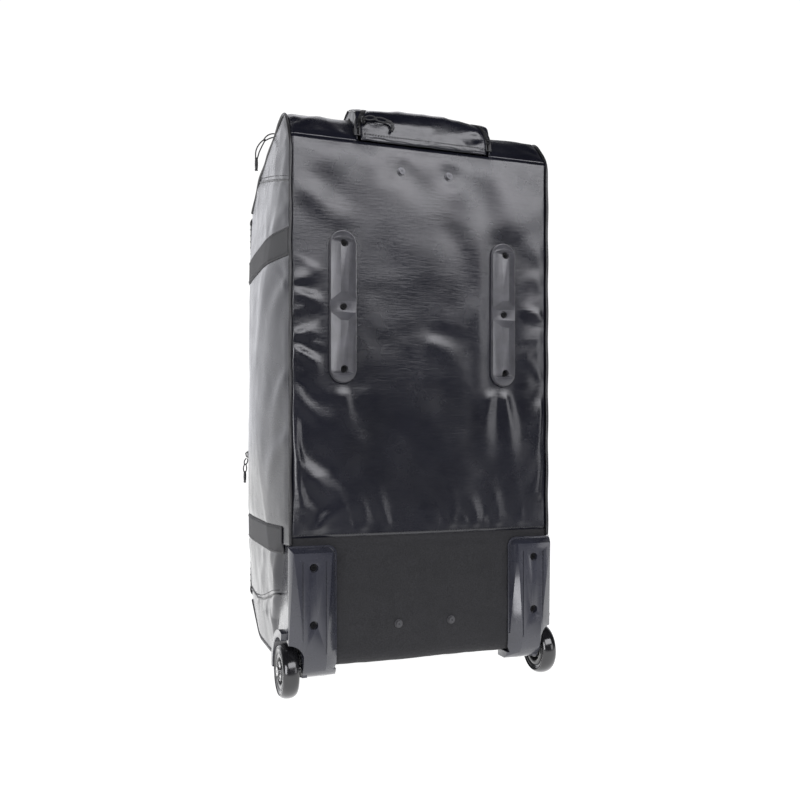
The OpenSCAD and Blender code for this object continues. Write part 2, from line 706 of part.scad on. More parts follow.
// Drawn about the axle, with the wheel's width along X
module on_axle() {
    bag() translate([half_w, axle_depth, wheel_z]) rotate([0, 90, 0]) children();
}
bearing_r = 11;
bearing_t = 7;
module tyre() {
    tyre_in = 26;
    on_axle() rotate_extrude($fn = 72) {
        translate([tyre_in, -8]) square([wheel_r - tyre_in - 8, 16]);
        polygon([
            [tyre_in, -10], [wheel_r - 7, -wheel_w / 2],
            for (k = [-6:6]) [wheel_r - 7 + 7 * cos(15 * k), wheel_w / 2 * sin(15 * k)],
            [wheel_r - 7, wheel_w / 2], [tyre_in, 10]
        ]);
    }
}
module hub() {
    on_axle() difference() {
        rotate_extrude() {
            translate([19, -9.8]) square([7, 19.6]);
            translate([bearing_r, -10.5]) square([3, 21]);
            translate([13, -3]) square([8, 6]);
            translate([8.5, -2]) square([4, 4]);
        }
        for (k = [0:4]) rotate([0, 0, 72 * k]) translate([16.5, 0, -15]) cylinder(r = 2.4, h = 30);
    }
}
module bearings() {
    on_axle() for (s = [-1, 1]) translate([0, 0, s * 6 - bearing_t / 2]) difference() {
        cylinder(r = bearing_r, h = bearing_t);
        translate([0, 0, -1]) cylinder(r = axle_r + 0.05, h = bearing_t + 2);
    }
}
module axle() {
    on_axle() {
        translate([0, 0, -24.9]) cylinder(r = axle_r, h = 24.9 + 10.6);
        translate([0, 0, 10.6]) difference() {
            cylinder(r = 6.5, h = 3.4);
            translate([0, 0, 1.6]) cylinder(r = 2.5, h = 4, $fn = 6);
        }
        translate([0, 0, -16.9]) difference() {
            cylinder(r = 6.5, h = 6.2);
            translate([0, 0, -1]) cylinder(r = axle_r, h = 9);
        }
    }
}

// ---- feet and handles ------------------------------------------------------

module front_feet() {
    color([0.1, 0.1, 0.1]) bag() both_sides() translate([foot_x, foot_depth, 0]) difference() {
        hull() {
            translate([-30, -20, base_z - 4]) cube([60, 40, 3.9]);
            translate([-24, -15, 4]) cube([48, 30, 2]);
        }
        for (k = [-1, 1]) translate([k * 18, 0, 0]) {
            cylinder(r = head_r + 0.4, h = 30);
            cylinder(r = screw_r + 0.1, h = 60);
        }
    }
}
module foot_pads() {
    color([0.05, 0.05, 0.05]) bag() both_sides() translate([foot_x, foot_depth, 0]) difference() {
        translate([-24, -15, 0]) cube([48, 30, 3.9]);
        for (k = [-1, 1]) translate([k * 18, 0, -1]) cylinder(r = head_r + 0.4, h = 10);
    }
}
module foot_screws() {
    color("dimgray") bag() both_sides() for (k = [-1, 1]) translate([foot_x + k * 18, foot_depth, 27.3]) {
        cylinder(r = head_r, h = 2.6);
        cylinder(r = screw_r, h = 24);
    }
}
// A padded webbing grab handle: two sewn tabs and a raised loop between them
module grab_handle(half, rise) {
    loop = rounded([[-half, 1], [-half + 24, 1], [-half + 44, rise], [half - 44, rise], [half - 24, 1], [half, 1]], 16);
    translate([0, 15, 0]) rotate([90, 0, 0]) linear_extrude(30) polygon(strip(loop, 3.5));
}
module top_handle() {
    color([0.08, 0.08, 0.08]) bag() translate([0, top_handle_depth, head_z(top_handle_depth) + 0.4]) rotate([-head_tilt, 0, 0])
        grab_handle(95, 24);
}
module base_handle() {
    color([0.08, 0.08, 0.08]) bag() translate([0, 276, 67.9]) rotate([180 + atan2(49, 77), 0, 0])
        grab_handle(80, 20);
}

// ---- nodes -----------------------------------------------------------------

band = [0.09, 0.09, 0.09];
back_panel();
back_board();
base_panel();
base_board();
top_panel();
side(-1) color([0.3, 0.3, 0.31]) side_panel();  // side_panel_left
side(1) color([0.3, 0.3, 0.31]) side_panel();  // side_panel_right
side(-1) color(band) piping();  // piping_left
side(1) color(band) piping();  // piping_right
side(-1) color(band) side_strap(1);  // strap_upper_left
side(-1) color(band) side_strap(0);  // strap_lower_left
side(1) color(band) side_strap(1);  // strap_upper_right
side(1) color(band) side_strap(0);  // strap_lower_right
opening_rim();
main_zip_bag_teeth();
lid_shell();
main_zip_lid_teeth();
lid_pocket();
lid_pocket_zip();
main_zip_slider();
main_pull_cord();
main_pull_grip();
end_zip();
end_zip_slider();
end_pull_cord();
end_pull_grip();
trolley_cup();
trolley_lower_bracket();
trolley_outer_tubes();
trolley_mid_tubes();
trolley_inner_tubes();
trolley_grip();
trolley_button();
pocket_hood();
hood_zip_teeth();
flap();
flap_zip_teeth();
flap_zip_slider();
flap_pull_cord();
flap_pull_grip();
side(-1) color([0.25, 0.25, 0.26]) rail();  // rail_left
side(1) color([0.25, 0.25, 0.26]) rail();  // rail_right
rail_screws();
side(-1) color([0.25, 0.25, 0.27]) wheel_housing();  // wheel_housing_left
side(1) color([0.25, 0.25, 0.27]) wheel_housing();  // wheel_housing_right
housing_screws();
trolley_screws();
side(-1) color("silver") axle();  // axle_left
side(1) color("silver") axle();  // axle_right
side(-1) color([0.2, 0.2, 0.2]) hub();  // hub_left
side(1) color([0.2, 0.2, 0.2]) hub();  // hub_right
side(-1) color([0.08, 0.08, 0.08]) tyre();  // tyre_left
side(1) color([0.08, 0.08, 0.08]) tyre();  // tyre_right
side(-1) color("silver") bearings();  // bearings_left
side(1) color("silver") bearings();  // bearings_right
front_feet();
foot_pads();
foot_screws();
top_handle();
base_handle();
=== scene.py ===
"""Looks of the wheeled gear bag: creased coated fabric, webbing, zips, mouldings and wheels."""
import json
import math
import random

import bmesh
import bpy
import numpy as np
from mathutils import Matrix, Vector, noise


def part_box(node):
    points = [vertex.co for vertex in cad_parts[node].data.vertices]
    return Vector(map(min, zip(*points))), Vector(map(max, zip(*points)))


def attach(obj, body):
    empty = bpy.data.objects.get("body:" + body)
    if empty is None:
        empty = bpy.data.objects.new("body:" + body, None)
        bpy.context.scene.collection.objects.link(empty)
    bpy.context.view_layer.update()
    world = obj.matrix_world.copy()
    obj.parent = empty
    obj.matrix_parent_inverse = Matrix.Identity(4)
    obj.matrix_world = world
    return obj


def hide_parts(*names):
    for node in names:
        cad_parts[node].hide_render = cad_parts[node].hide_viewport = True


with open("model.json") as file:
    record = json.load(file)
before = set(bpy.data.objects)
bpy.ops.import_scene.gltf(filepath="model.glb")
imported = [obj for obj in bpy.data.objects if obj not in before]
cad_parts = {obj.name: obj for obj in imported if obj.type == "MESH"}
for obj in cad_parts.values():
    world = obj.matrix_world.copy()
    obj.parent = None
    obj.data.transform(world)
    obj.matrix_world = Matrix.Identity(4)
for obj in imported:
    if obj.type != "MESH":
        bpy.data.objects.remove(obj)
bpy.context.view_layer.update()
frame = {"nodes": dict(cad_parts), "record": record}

MM = 0.001

# ---- places taken from the frame ---------------------------------------------------

back_low, back_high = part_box("back_panel")
BACK_Y = back_low[1]
HALF_W = back_high[0] + 3 * MM
FOOT_SEAM = back_low[2]
HEAD_SEAM = back_high[2] + 1.5 * MM
BASE_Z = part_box("base_panel")[0][2]
RIDGE = (40 * MM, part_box("top_panel")[1][2] + 1.6 * MM)
CREST = (245 * MM, 806 * MM)
HEAD_TILT = math.atan2(RIDGE[1] - CREST[1], CREST[0] - RIDGE[0])
TOE = (235 * MM, BASE_Z)
RIM_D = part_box("side_panel_left")[1][1] - BACK_Y
RIM_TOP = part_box("opening_rim")[1][2]
RIM_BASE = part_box("opening_rim")[0][2]
HOUSING_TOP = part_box("wheel_housing_left")[1][2]
POCKET_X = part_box("flap")[1][0]
LID_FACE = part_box("lid_shell")[1][1] - BACK_Y
ZIP_SPLIT = (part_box("main_zip_bag_teeth")[1][1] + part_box("main_zip_lid_teeth")[0][1]) / 2 - BACK_Y
RAIL_X = (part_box("rail_right")[0][0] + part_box("rail_right")[1][0]) / 2
RAIL_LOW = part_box("rail_right")[0][2]
RAIL_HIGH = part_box("rail_right")[1][2]
BULGE = 24 * MM
WELL_TOP = 99 * MM
WELL_D = 84 * MM
HEAD_LENGTH = 345 * MM     # of the head panel, from the back seam over the ridge to the rim
IN_TOGGLE = 17.5 * MM      # how far a pull cord runs down inside its toggle


def at(x, d, z):
    """A point of the bag, with d as the depth from the back panel towards the lid."""
    return np.stack(np.broadcast_arrays(x, BACK_Y + d, z), axis=-1).astype(float)


# ---- small tools -------------------------------------------------------------------

def ease(t):
    t = np.clip(t, 0, 1)
    return t * t * (3 - 2 * t)


def spline(points, count):
    """A smooth curve through given points (Catmull-Rom), evenly spaced."""
    p = np.asarray(points, float)
    p = np.vstack([2 * p[0] - p[1], p, 2 * p[-1] - p[-2]])
    fine = []
    for i in range(1, len(p) - 2):
        for t in np.linspace(0, 1, 24, endpoint=False):
            a, b, c, d = p[i - 1], p[i], p[i + 1], p[i + 2]
            fine.append(0.5 * (2 * b + (c - a) * t + (2 * a - 5 * b + 4 * c - d) * t ** 2
                               + (3 * b - a - 3 * c + d) * t ** 3))
    fine.append(p[-2])
    return resample(np.array(fine), count)


def resample(p, count):
    p = np.asarray(p, float)
    s = np.concatenate([[0], np.cumsum(np.linalg.norm(np.diff(p, axis=0), axis=1))])
    want = np.linspace(0, s[-1], count)
    return np.stack([np.interp(want, s, p[:, k]) for k in range(p.shape[1])], axis=-1)


def round_corners(points, radius, steps=6):
    """An open polyline with its inner corners rounded."""
    p = [np.asarray(q, float) for q in points]
    out = [p[0]]
    for a, b, c in zip(p, p[1:], p[2:]):
        before = b + (a - b) * min(radius / np.linalg.norm(a - b), 0.45)
        after = b + (c - b) * min(radius / np.linalg.norm(c - b), 0.45)
        for t in np.linspace(0, 1, steps):
            out.append(before * (1 - t) ** 2 + b * 2 * t * (1 - t) + after * t ** 2)
    out.append(p[-1])
    return np.array(out)


def rough(points, scale, seed, octaves=3):
    """Fractal noise at each row of points, from about -1 to 1."""
    off = Vector((seed * 7.31, seed * 3.17, seed * 5.77))
    return np.array([
        noise.fractal(Vector((p[0] / scale[0], p[1] / scale[1], p[2] / scale[2])) + off, 1.0, 2.0, octaves)
        for p in points
    ])


def crease(u, v, points, width, height, valley=0.55):
    """Height of one fold that starts at a seam and dies away, on a panel with coordinates u, v."""
    path = spline(points, 20)
    best = np.full(u.shape, 1e9)
    side = np.zeros(u.shape)
    along = np.zeros(u.shape)
    for i, (a, b) in enumerate(zip(path, path[1:])):
        ab = b - a
        t = np.clip(((u - a[0]) * ab[0] + (v - a[1]) * ab[1]) / (ab @ ab), 0, 1)
        du, dv = u - a[0] - t * ab[0], v - a[1] - t * ab[1]
        near = du * du + dv * dv
        closer = near < best
        best = np.where(closer, near, best)
        side = np.where(closer, np.sign(ab[0] * dv - ab[1] * du), side)
        along = np.where(closer, (i + t) / (len(path) - 1), along)
    s = np.sqrt(best) * side
    w = width * (0.6 + 1.1 * along)
    fade = np.minimum(1, 0.25 + along * 8) * (1 - along) ** 0.8
    return height * fade * (np.exp(-(s / w) ** 2) - valley * np.exp(-((s - 1.7 * w) / (1.2 * w)) ** 2))


def mesh_object(name, verts, faces, material, body, smooth=True):
    mesh = bpy.data.meshes.new(name)
    mesh.from_pydata([tuple(v) for v in verts], [], [tuple(f) for f in faces])
    mesh.validate()
    mesh.update()
    obj = bpy.data.objects.new(name, mesh)
    bpy.context.scene.collection.objects.link(obj)
    for poly in mesh.polygons:
        poly.use_smooth = smooth
    mesh.materials.append(MATERIALS[material])
    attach(obj, body)
    return obj


def grid_faces(rows, cols, closed=False, skip=None):
    faces = []
    for r in range(rows - 1):
        for c in range(cols if closed else cols - 1):
            if skip is not None and skip[r, c]:
                continue
            n = (c + 1) % cols
            faces.append((r * cols + c, r * cols + n, (r + 1) * cols + n, (r + 1) * cols + c))
    return faces


def closing_faces(rows, cols):
    """Faces from a closed grid's last row back to its first."""
    last = (rows - 1) * cols
    return [(last + k, last + (k + 1) % cols, (k + 1) % cols, k) for k in range(cols)]


def sheet_object(name, grid, material, body, thickness=1.3 * MM, skip=None, inward=None):
    """A fabric panel from a grid of points. Its outer side keeps its place, and inward is
    a direction that points to the fabric's back."""
    rows, cols = grid.shape[:2]
    verts = grid.reshape(-1, 3)
    faces = grid_faces(rows, cols, skip=skip)
    used = sorted({i for f in faces for i in f})
    new = {old: i for i, old in enumerate(used)}
    verts = verts[used]
    faces = [[new[i] for i in f] for f in faces]
    obj = mesh_object(name, verts, faces, material, body)
    tidy_mesh(obj, inward)
    solid = obj.modifiers.new("thickness", "SOLIDIFY")
    solid.thickness = thickness
    solid.offset = -1
    return obj


def tidy_mesh(obj, inward):
    bm = bmesh.new()
    bm.from_mesh(obj.data)
    bmesh.ops.remove_doubles(bm, verts=bm.verts, dist=0.02 * MM)
    bmesh.ops.dissolve_degenerate(bm, edges=bm.edges, dist=0.01 * MM)
    loose = [v for v in bm.verts if not v.link_faces]
    bmesh.ops.delete(bm, geom=loose, context="VERTS")
    bmesh.ops.recalc_face_normals(bm, faces=bm.faces)
    if inward is not None:
        total = sum((f.normal * f.calc_area() for f in bm.faces), Vector())
        if total.dot(Vector(inward)) > 0:
            bmesh.ops.reverse_faces(bm, faces=bm.faces)
    bm.to_mesh(obj.data)
    bm.free()
    for poly in obj.data.polygons:
        poly.use_smooth = True


def tube_mesh(path, radius, sides=10, closed=False):
    """Vertices and faces of a tube along a path, with radius as a number or one per point."""
    p = np.asarray(path, float)
    n = len(p)
    radius = np.broadcast_to(radius, (n,))
    ahead = np.roll(p, -1, 0) - np.roll(p, 1, 0)
    if not closed:
        ahead[0], ahead[-1] = p[1] - p[0], p[-1] - p[-2]
    ahead /= np.linalg.norm(ahead, axis=1)[:, None] + 1e-12
    up = np.cross(ahead[0], [0.31, 0.17, 0.93])
    up /= np.linalg.norm(up)
    verts = []
    for i in range(n):
        up = up - ahead[i] * (up @ ahead[i])
        up /= np.linalg.norm(up) + 1e-12
        other = np.cross(ahead[i], up)
        for k in range(sides):
            a = 2 * math.pi * k / sides
            verts.append(p[i] + radius[i] * (up * math.cos(a) + other * math.sin(a)))
    faces = grid_faces(n, sides, closed=True)
    if closed:
        faces += closing_faces(n, sides)
    else:
        faces += [tuple(range(sides))[::-1], tuple(range((n - 1) * sides, n * sides))]
    return np.array(verts), faces


def tube_object(name, paths, radius, material, body, sides=10, closed=False):
    verts, faces = [], []
    for path in paths:
        v, f = tube_mesh(path, radius, sides, closed)
        faces += [tuple(i + len(verts) for i in q) for q in f]
        verts += list(v)
    return mesh_object(name, verts, faces, material, body)


def boxes(centres, along, across, normal, size):
    """Small bevelled blocks, such as stitches or teeth, as one mesh."""
    corners = [(sx, sy, sz) for sz in (-1, 1) for sx, sy in ((-1, -1), (1, -1), (1, 1), (-1, 1))]
    quads = [(0, 3, 2, 1), (4, 5, 6, 7), (0, 1, 5, 4), (1, 2, 6, 5), (2, 3, 7, 6), (3, 0, 4, 7)]
    verts, faces = [], []
    for c, t, s, n in zip(centres, along, across, normal):
        base = len(verts)
        for x, y, z in corners:
            taper = 0.75 if z > 0 else 1
            verts.append(c + t * x * size[0] / 2 * taper + s * y * size[1] / 2 * taper + n * z * size[2] / 2)
        faces += [tuple(base + i for i in q) for q in quads]
    return verts, faces


def frames_along(path, normals, spacing):
    """Evenly spaced points on a path with unit tangents, sides and normals."""
    length = np.linalg.norm(np.diff(path, axis=0), axis=1).sum()
    count = max(2, int(round(length / spacing)))
    both = resample(np.hstack([path, normals]), count)
    p, n = both[:, :3], both[:, 3:]
    t = np.gradient(p, axis=0)
    t /= np.linalg.norm(t, axis=1)[:, None] + 1e-12
    n = n - t * (n * t).sum(1)[:, None]
    n /= np.linalg.norm(n, axis=1)[:, None] + 1e-12
    return p, t, np.cross(n, t), n


def stitch_object(name, runs, body, pitch=4.2 * MM, lift=0.3 * MM):
    """Runs of stitches, each given as a path and its normals."""
    verts, faces = [], []
    for path, normals in runs:
        p, t, s, n = frames_along(np.asarray(path), np.asarray(normals), pitch)
        v, f = boxes(p + n * lift, t, s, n, (pitch * 0.62, 0.9 * MM, 0.9 * MM))
        faces += [tuple(i + len(verts) for i in q) for q in f]
        verts += v
    return mesh_object(name, verts, faces, "cord", body, smooth=False)


def zip_object(name, path, normals, side, body, tape=9 * MM, pitch=2.8 * MM):
    """One half of a zip: a woven tape and its row of teeth. side is 1 or -1."""
    p, t, s, n = frames_along(np.asarray(path), np.asarray(normals), pitch)
    s = s * side
    verts, faces = boxes(p + s * 1.1 * MM + n * 0.3 * MM, t, s, n, (pitch * 0.55, 2.6 * MM, 2.2 * MM))
    rows = [p + s * w + n * h for w, h in ((1.2 * MM, -0.6 * MM), (2.5 * MM, -0.3 * MM), (tape, -0.5 * MM),
                                           (tape, -1.3 * MM), (1.2 * MM, -1.4 * MM))]
    start = len(verts)
    k = len(rows)
    for i in range(len(p)):
        verts += [row[i] for row in rows]
    for i in range(len(p) - 1):
        for j in range(k):
            a, b = start + i * k + j, start + i * k + (j + 1) % k
            faces.append((a, b, b + k, a + k))
    faces += [tuple(start + j for j in range(k)), tuple(start + (len(p) - 1) * k + j for j in range(k))[::-1]]
    obj = mesh_object(name, verts, faces, "zip", body, smooth=False)
    tidy_mesh(obj, None)
    for poly in obj.data.polygons:
        poly.use_smooth = False
    return obj


# ---- materials ---------------------------------------------------------------------

MATERIALS = {}


class Shader:
    """A Principled material, with textures laid out in object space."""

    def __init__(self, slot, colour, roughness, metallic=0.0, coat=0.0, coat_roughness=0.1, sheen=0.0,
                 specular=0.5):
        self.material = bpy.data.materials.new("look_" + slot)
        self.material.use_nodes = True
        self.tree = self.material.node_tree
        self.bsdf = self.tree.nodes["Principled BSDF"]
        self.colour, self.roughness = colour, roughness
        socket = self.bsdf.inputs
        socket["Base Color"].default_value = (*colour, 1)
        socket["Roughness"].default_value = roughness
        socket["Metallic"].default_value = metallic
        socket["Coat Weight"].default_value = coat
        socket["Coat Roughness"].default_value = coat_roughness
        socket["Sheen Weight"].default_value = sheen
        socket["Specular IOR Level"].default_value = specular
        self.coords = self.tree.nodes.new("ShaderNodeTexCoord").outputs["Object"]
        self.heights = []
        MATERIALS[slot] = self.material

    def link(self, a, b):
        self.tree.links.new(a, b)

    def stretched(self, scale):
        node = self.tree.nodes.new("ShaderNodeMapping")
        node.inputs["Scale"].default_value = scale
        self.link(self.coords, node.inputs["Vector"])
        return node.outputs["Vector"]

    def noise(self, scale, detail=4.0, stretch=(1, 1, 1), distortion=0.0):
        node = self.tree.nodes.new("ShaderNodeTexNoise")
        node.inputs["Scale"].default_value = scale
        node.inputs["Detail"].default_value = detail
        node.inputs["Distortion"].default_value = distortion
        self.link(self.stretched(stretch), node.inputs["Vector"])
        return node.outputs["Fac"]

    def cells(self, scale, stretch=(1, 1, 1)):
        node = self.tree.nodes.new("ShaderNodeTexVoronoi")
        node.inputs["Scale"].default_value = scale
        self.link(self.stretched(stretch), node.inputs["Vector"])
        return node.outputs["Distance"]

    def wave(self, scale, direction, distortion=0.0):
        node = self.tree.nodes.new("ShaderNodeTexWave")
        node.bands_direction = direction
        node.inputs["Scale"].default_value = scale
        node.inputs["Distortion"].default_value = distortion
        self.link(self.coords, node.inputs["Vector"])
        return node.outputs["Fac"]

    def math(self, operation, a, b):
        node = self.tree.nodes.new("ShaderNodeMath")
        node.operation = operation
        for socket, value in zip(node.inputs, (a, b)):
            if isinstance(value, (int, float)):
                socket.default_value = value
            else:
                self.link(value, socket)
        return node.outputs[0]

    def ramp(self, source, low, high, start=0.3, end=0.7):
        node = self.tree.nodes.new("ShaderNodeMapRange")
        for key, value in (("From Min", start), ("From Max", end), ("To Min", low), ("To Max", high)):
            node.inputs[key].default_value = value
        self.link(source, node.inputs["Value"])
        return node.outputs["Result"]

    def tint(self, source, dark, light, start=0.3, end=0.7):
        """Base colour from dark to light times the material's colour."""
        node = self.tree.nodes.new("ShaderNodeMix")
        node.data_type = "RGBA"
        self.link(self.ramp(source, 0, 1, start, end), node.inputs["Factor"])
        node.inputs[6].default_value = (*[c * dark for c in self.colour], 1)
        node.inputs[7].default_value = (*[c * light for c in self.colour], 1)
        self.link(node.outputs[2], self.bsdf.inputs["Base Color"])

    def gloss(self, source, low, high, start=0.3, end=0.7):
        self.link(self.ramp(source, low, high, start, end), self.bsdf.inputs["Roughness"])

    def bump(self, source, distance, strength=1.0):
        node = self.tree.nodes.new("ShaderNodeBump")
        node.inputs["Distance"].default_value = distance
        node.inputs["Strength"].default_value = strength
        self.link(source, node.inputs["Height"])
        if self.heights:
            self.link(self.heights[-1], node.inputs["Normal"])
        self.heights.append(node.outputs["Normal"])
        self.link(node.outputs["Normal"], self.bsdf.inputs["Normal"])


def weave(shader, pitch, depth):
    """A plain weave in the panel's plane: crossed threads at the given pitch."""
    turns = 1 / pitch / 3.14159
    up = shader.wave(turns, "Z")
    across = shader.math("MAXIMUM", shader.wave(turns, "X"), shader.wave(turns, "Y"))
    shader.bump(shader.math("MULTIPLY", up, across), depth)


def make_materials():
    m = Shader("tarpaulin", (0.006, 0.0064, 0.0105), 0.25, coat=0.2, coat_roughness=0.2)
    m.tint(m.noise(9), 0.8, 1.25)
    m.gloss(m.noise(26, 5), 0.20, 0.30)
    m.bump(m.noise(60, 3, (1, 1, 7)), 0.25 * MM, 0.7)
    m.bump(m.wave(260, "Z", 1.5), 0.05 * MM, 0.5)
    m.bump(m.noise(900, 2), 0.05 * MM, 0.5)

    m = Shader("ballistic", (0.012, 0.012, 0.0135), 0.74, sheen=0.03, specular=0.3)
    m.tint(m.noise(500, 2), 0.7, 1.5)
    weave(m, 1.0 * MM, 0.35 * MM)
    m.bump(m.noise(40), 0.8 * MM, 0.5)

    m = Shader("board", (0.02, 0.02, 0.02), 0.6)
    m.gloss(m.noise(80), 0.5, 0.7)
    m.bump(m.noise(700), 0.1 * MM)

    m = Shader("piping", (0.012, 0.012, 0.013), 0.42, coat=0.1)
    m.gloss(m.noise(150), 0.34, 0.5)
    m.bump(m.noise(400), 0.1 * MM)

    m = Shader("webbing", (0.021, 0.021, 0.023), 0.72, sheen=0.08)
    m.tint(m.noise(700, 2), 0.6, 1.5)
    m.bump(m.wave(1 / (1.6 * MM) / 3.14159, "Z"), 0.35 * MM, 0.9)
    m.bump(m.wave(1 / (2.4 * MM) / 3.14159, "Y"), 0.25 * MM, 0.7)

    m = Shader("zip", (0.011, 0.011, 0.012), 0.5)
    m.gloss(m.noise(500), 0.4, 0.62)
    m.bump(m.noise(1500), 0.1 * MM)

    m = Shader("slider", (0.02, 0.02, 0.021), 0.3, metallic=0.6)
    m.gloss(m.noise(300), 0.22, 0.42)
    m.bump(m.noise(900), 0.04 * MM)

    m = Shader("cord", (0.014, 0.014, 0.015), 0.62, sheen=0.1)
    m.tint(m.noise(1500, 2), 0.6, 1.7)
    m.bump(m.cells(1400, (1, 1, 0.6)), 0.25 * MM)

    m = Shader("grip", (0.02, 0.02, 0.021), 0.5)
    m.gloss(m.noise(300), 0.4, 0.6)
    m.bump(m.noise(1200), 0.06 * MM)

    m = Shader("moulding", (0.020, 0.021, 0.029), 0.24, coat=0.45, coat_roughness=0.12)
    m.tint(m.noise(14), 0.85, 1.2)
    m.gloss(m.noise(45, 6), 0.2, 0.32)
    m.bump(m.noise(2200, 2), 0.05 * MM, 0.6)
    m.bump(m.noise(30, 2), 0.5 * MM, 0.25)

    m = Shader("rail", (0.05, 0.05, 0.056), 0.36, coat=0.2, coat_roughness=0.25)
    m.tint(m.noise(60, 6), 0.8, 1.3)
    m.gloss(m.noise(70, 6, (1, 1, 0.25)), 0.30, 0.44)
    m.bump(m.noise(1800, 2), 0.06 * MM, 0.7)

    m = Shader("trolley_plastic", (0.022, 0.022, 0.024), 0.4)
    m.gloss(m.noise(90), 0.34, 0.48)
    m.bump(m.noise(1600, 2), 0.06 * MM)

    m = Shader("tube", (0.30, 0.30, 0.31), 0.3, metallic=1.0)
    m.gloss(m.noise(200, 4, (1, 1, 0.03)), 0.24, 0.4)
    m.bump(m.noise(800, 2, (1, 1, 0.02)), 0.02 * MM)

    # near-black, barely reflective screw heads: partly the black oxide steel's own colour, partly painted
    # shade of the bores they sit in
    m = Shader("screw", (0.004, 0.004, 0.0045), 0.6, specular=0.12)
    m.gloss(m.noise(400), 0.5, 0.7)
    m.bump(m.noise(900), 0.04 * MM)

    m = Shader("washer", (0.08, 0.08, 0.085), 0.36, metallic=0.7)
    m.gloss(m.noise(500), 0.26, 0.44)
    m.bump(m.noise(900), 0.04 * MM)

    m = Shader("steel", (0.5, 0.5, 0.5), 0.25, metallic=1.0)
    m.gloss(m.noise(300, 4, (0.05, 1, 1)), 0.18, 0.34)
    m.bump(m.noise(900, 2, (0.1, 1, 1)), 0.02 * MM)

    m = Shader("hub", (0.016, 0.016, 0.017), 0.22, coat=0.3)
    m.gloss(m.noise(60, 5), 0.16, 0.3)
    m.bump(m.noise(1500), 0.03 * MM)

    m = Shader("tyre", (0.009, 0.009, 0.010), 0.16, coat=0.4, coat_roughness=0.08)
    m.gloss(m.noise(40, 6), 0.1, 0.26)
    m.bump(m.noise(120, 3), 0.06 * MM)


# ---- shape of the sides ------------------------------------------------------------

OUTLINE = [(0, BASE_Z), TOE, (RIM_D, RIM_BASE - 3 * MM), (RIM_D, RIM_TOP + 2 * MM), CREST, RIDGE,
           (0, HEAD_SEAM)]
CENTRE = (165 * MM, 440 * MM)


def gauge(d, z):
    """0 at the middle of a side, 1 on its outline."""
    worst = np.full(np.broadcast(d, z).shape, -1.0)
    for (d0, z0), (d1, z1) in zip(OUTLINE, OUTLINE[1:] + OUTLINE[:1]):
        n = (z1 - z0, d0 - d1)
        far = n[0] * (d0 - CENTRE[0]) + n[1] * (z0 - CENTRE[1])
        worst = np.maximum(worst, (n[0] * (d - CENTRE[0]) + n[1] * (z - CENTRE[1])) / far)
    return worst


def side_out(d, z):
    return HALF_W + BULGE * np.maximum(0, 1 - gauge(d, z) ** 2) ** 1.1


def head_path():
    return round_corners([(0, HEAD_SEAM), RIDGE, CREST, (RIM_D, RIM_TOP + 2 * MM)], 26 * MM, 9)


HEAD_LINE = resample(head_path(), 400)
SUMMIT = int(np.argmax(HEAD_LINE[:, 1]))


def front_depth(z):
    """Depth of the front edge of a side at height z."""
    low = np.interp(z, [BASE_Z, RIM_BASE - 3 * MM, RIM_TOP], [TOE[0], RIM_D, RIM_D])
    high = np.interp(z, HEAD_LINE[SUMMIT:, 1][::-1], HEAD_LINE[SUMMIT:, 0][::-1])
    return np.where(z > RIM_TOP + 2 * MM, high, low)


def rear_depth(z):
    """Depth of the rear edge, which passes a little way under the wheel housing's flank."""
    zs = [BASE_Z, WELL_TOP, 142 * MM, HOUSING_TOP - 1 * MM, HOUSING_TOP, HEAD_SEAM]
    ds = [WELL_D, WELL_D, 45 * MM, 12 * MM, 0, 0]
    low = np.interp(z, zs, ds)
    high = np.interp(z, HEAD_LINE[:SUMMIT + 1, 1], HEAD_LINE[:SUMMIT + 1, 0])
    return np.where(z > HEAD_SEAM, high, low)


def upper_seam(d):
    return 740 * MM + 66 * MM * d / CREST[0]


def lower_seam(d):
    return 143 * MM - 38 * MM * ease(d / RIM_D) + 4.5 * MM * np.sin(d / (42 * MM) + 0.6)


# ---- fabric ------------------------------------------------------------------------

def border_creases(u, v, box, count, seed, reach=(35, 90), tall=(0.8, 2.0), edges="LRTB"):
    """Random small folds that start at the panel's seams."""
    rnd = random.Random(seed)
    total = np.zeros(u.shape)
    (u0, v0), (u1, v1) = box
    for _ in range(count):
        edge = rnd.choice(edges)
        along = rnd.random()
        length = rnd.uniform(*reach)
        lean = rnd.uniform(-0.9, 0.9)
        if edge in "LR":
            start = (u0 if edge == "L" else u1, v0 + (v1 - v0) * along)
            way = (1 if edge == "L" else -1, lean)
        else:
            start = (u0 + (u1 - u0) * along, v0 if edge == "B" else v1)
            way = (lean, 1 if edge == "B" else -1)
        bend = rnd.uniform(-0.25, 0.25)
        mid = (start[0] + (way[0] - bend * way[1]) * length / 2,
               start[1] + (way[1] + bend * way[0]) * length / 2)
        end = (start[0] + way[0] * length, start[1] + way[1] * length)
        total += crease(u, v, [start, mid, end], rnd.uniform(3.5, 8), rnd.uniform(*tall))
    return total


def screw_pins(x, z, height, reach=(6.5, 34)):
    """0 at the pair of trolley screws at a height, rising to 1 away from them."""
    pair = CUP_SCREW_X if height > 0.5 else BRACKET_SCREW_X
    far = np.hypot(np.abs(x) - pair, z - height)
    return ease((far - reach[0] * MM) / ((reach[1] - reach[0]) * MM))


CUP_SCREW_X, CUP_SCREW_Z = 38 * MM, 769 * MM
BRACKET_SCREW_X, BRACKET_SCREW_Z = 42 * MM, 100 * MM


def flat_panel_grid(x0, x1, z0, z1, step):
    cols = int((x1 - x0) / step) + 1
    rows = int((z1 - z0) / step) + 1
    return np.meshgrid(np.linspace(x0, x1, cols), np.linspace(z0, z1, rows))


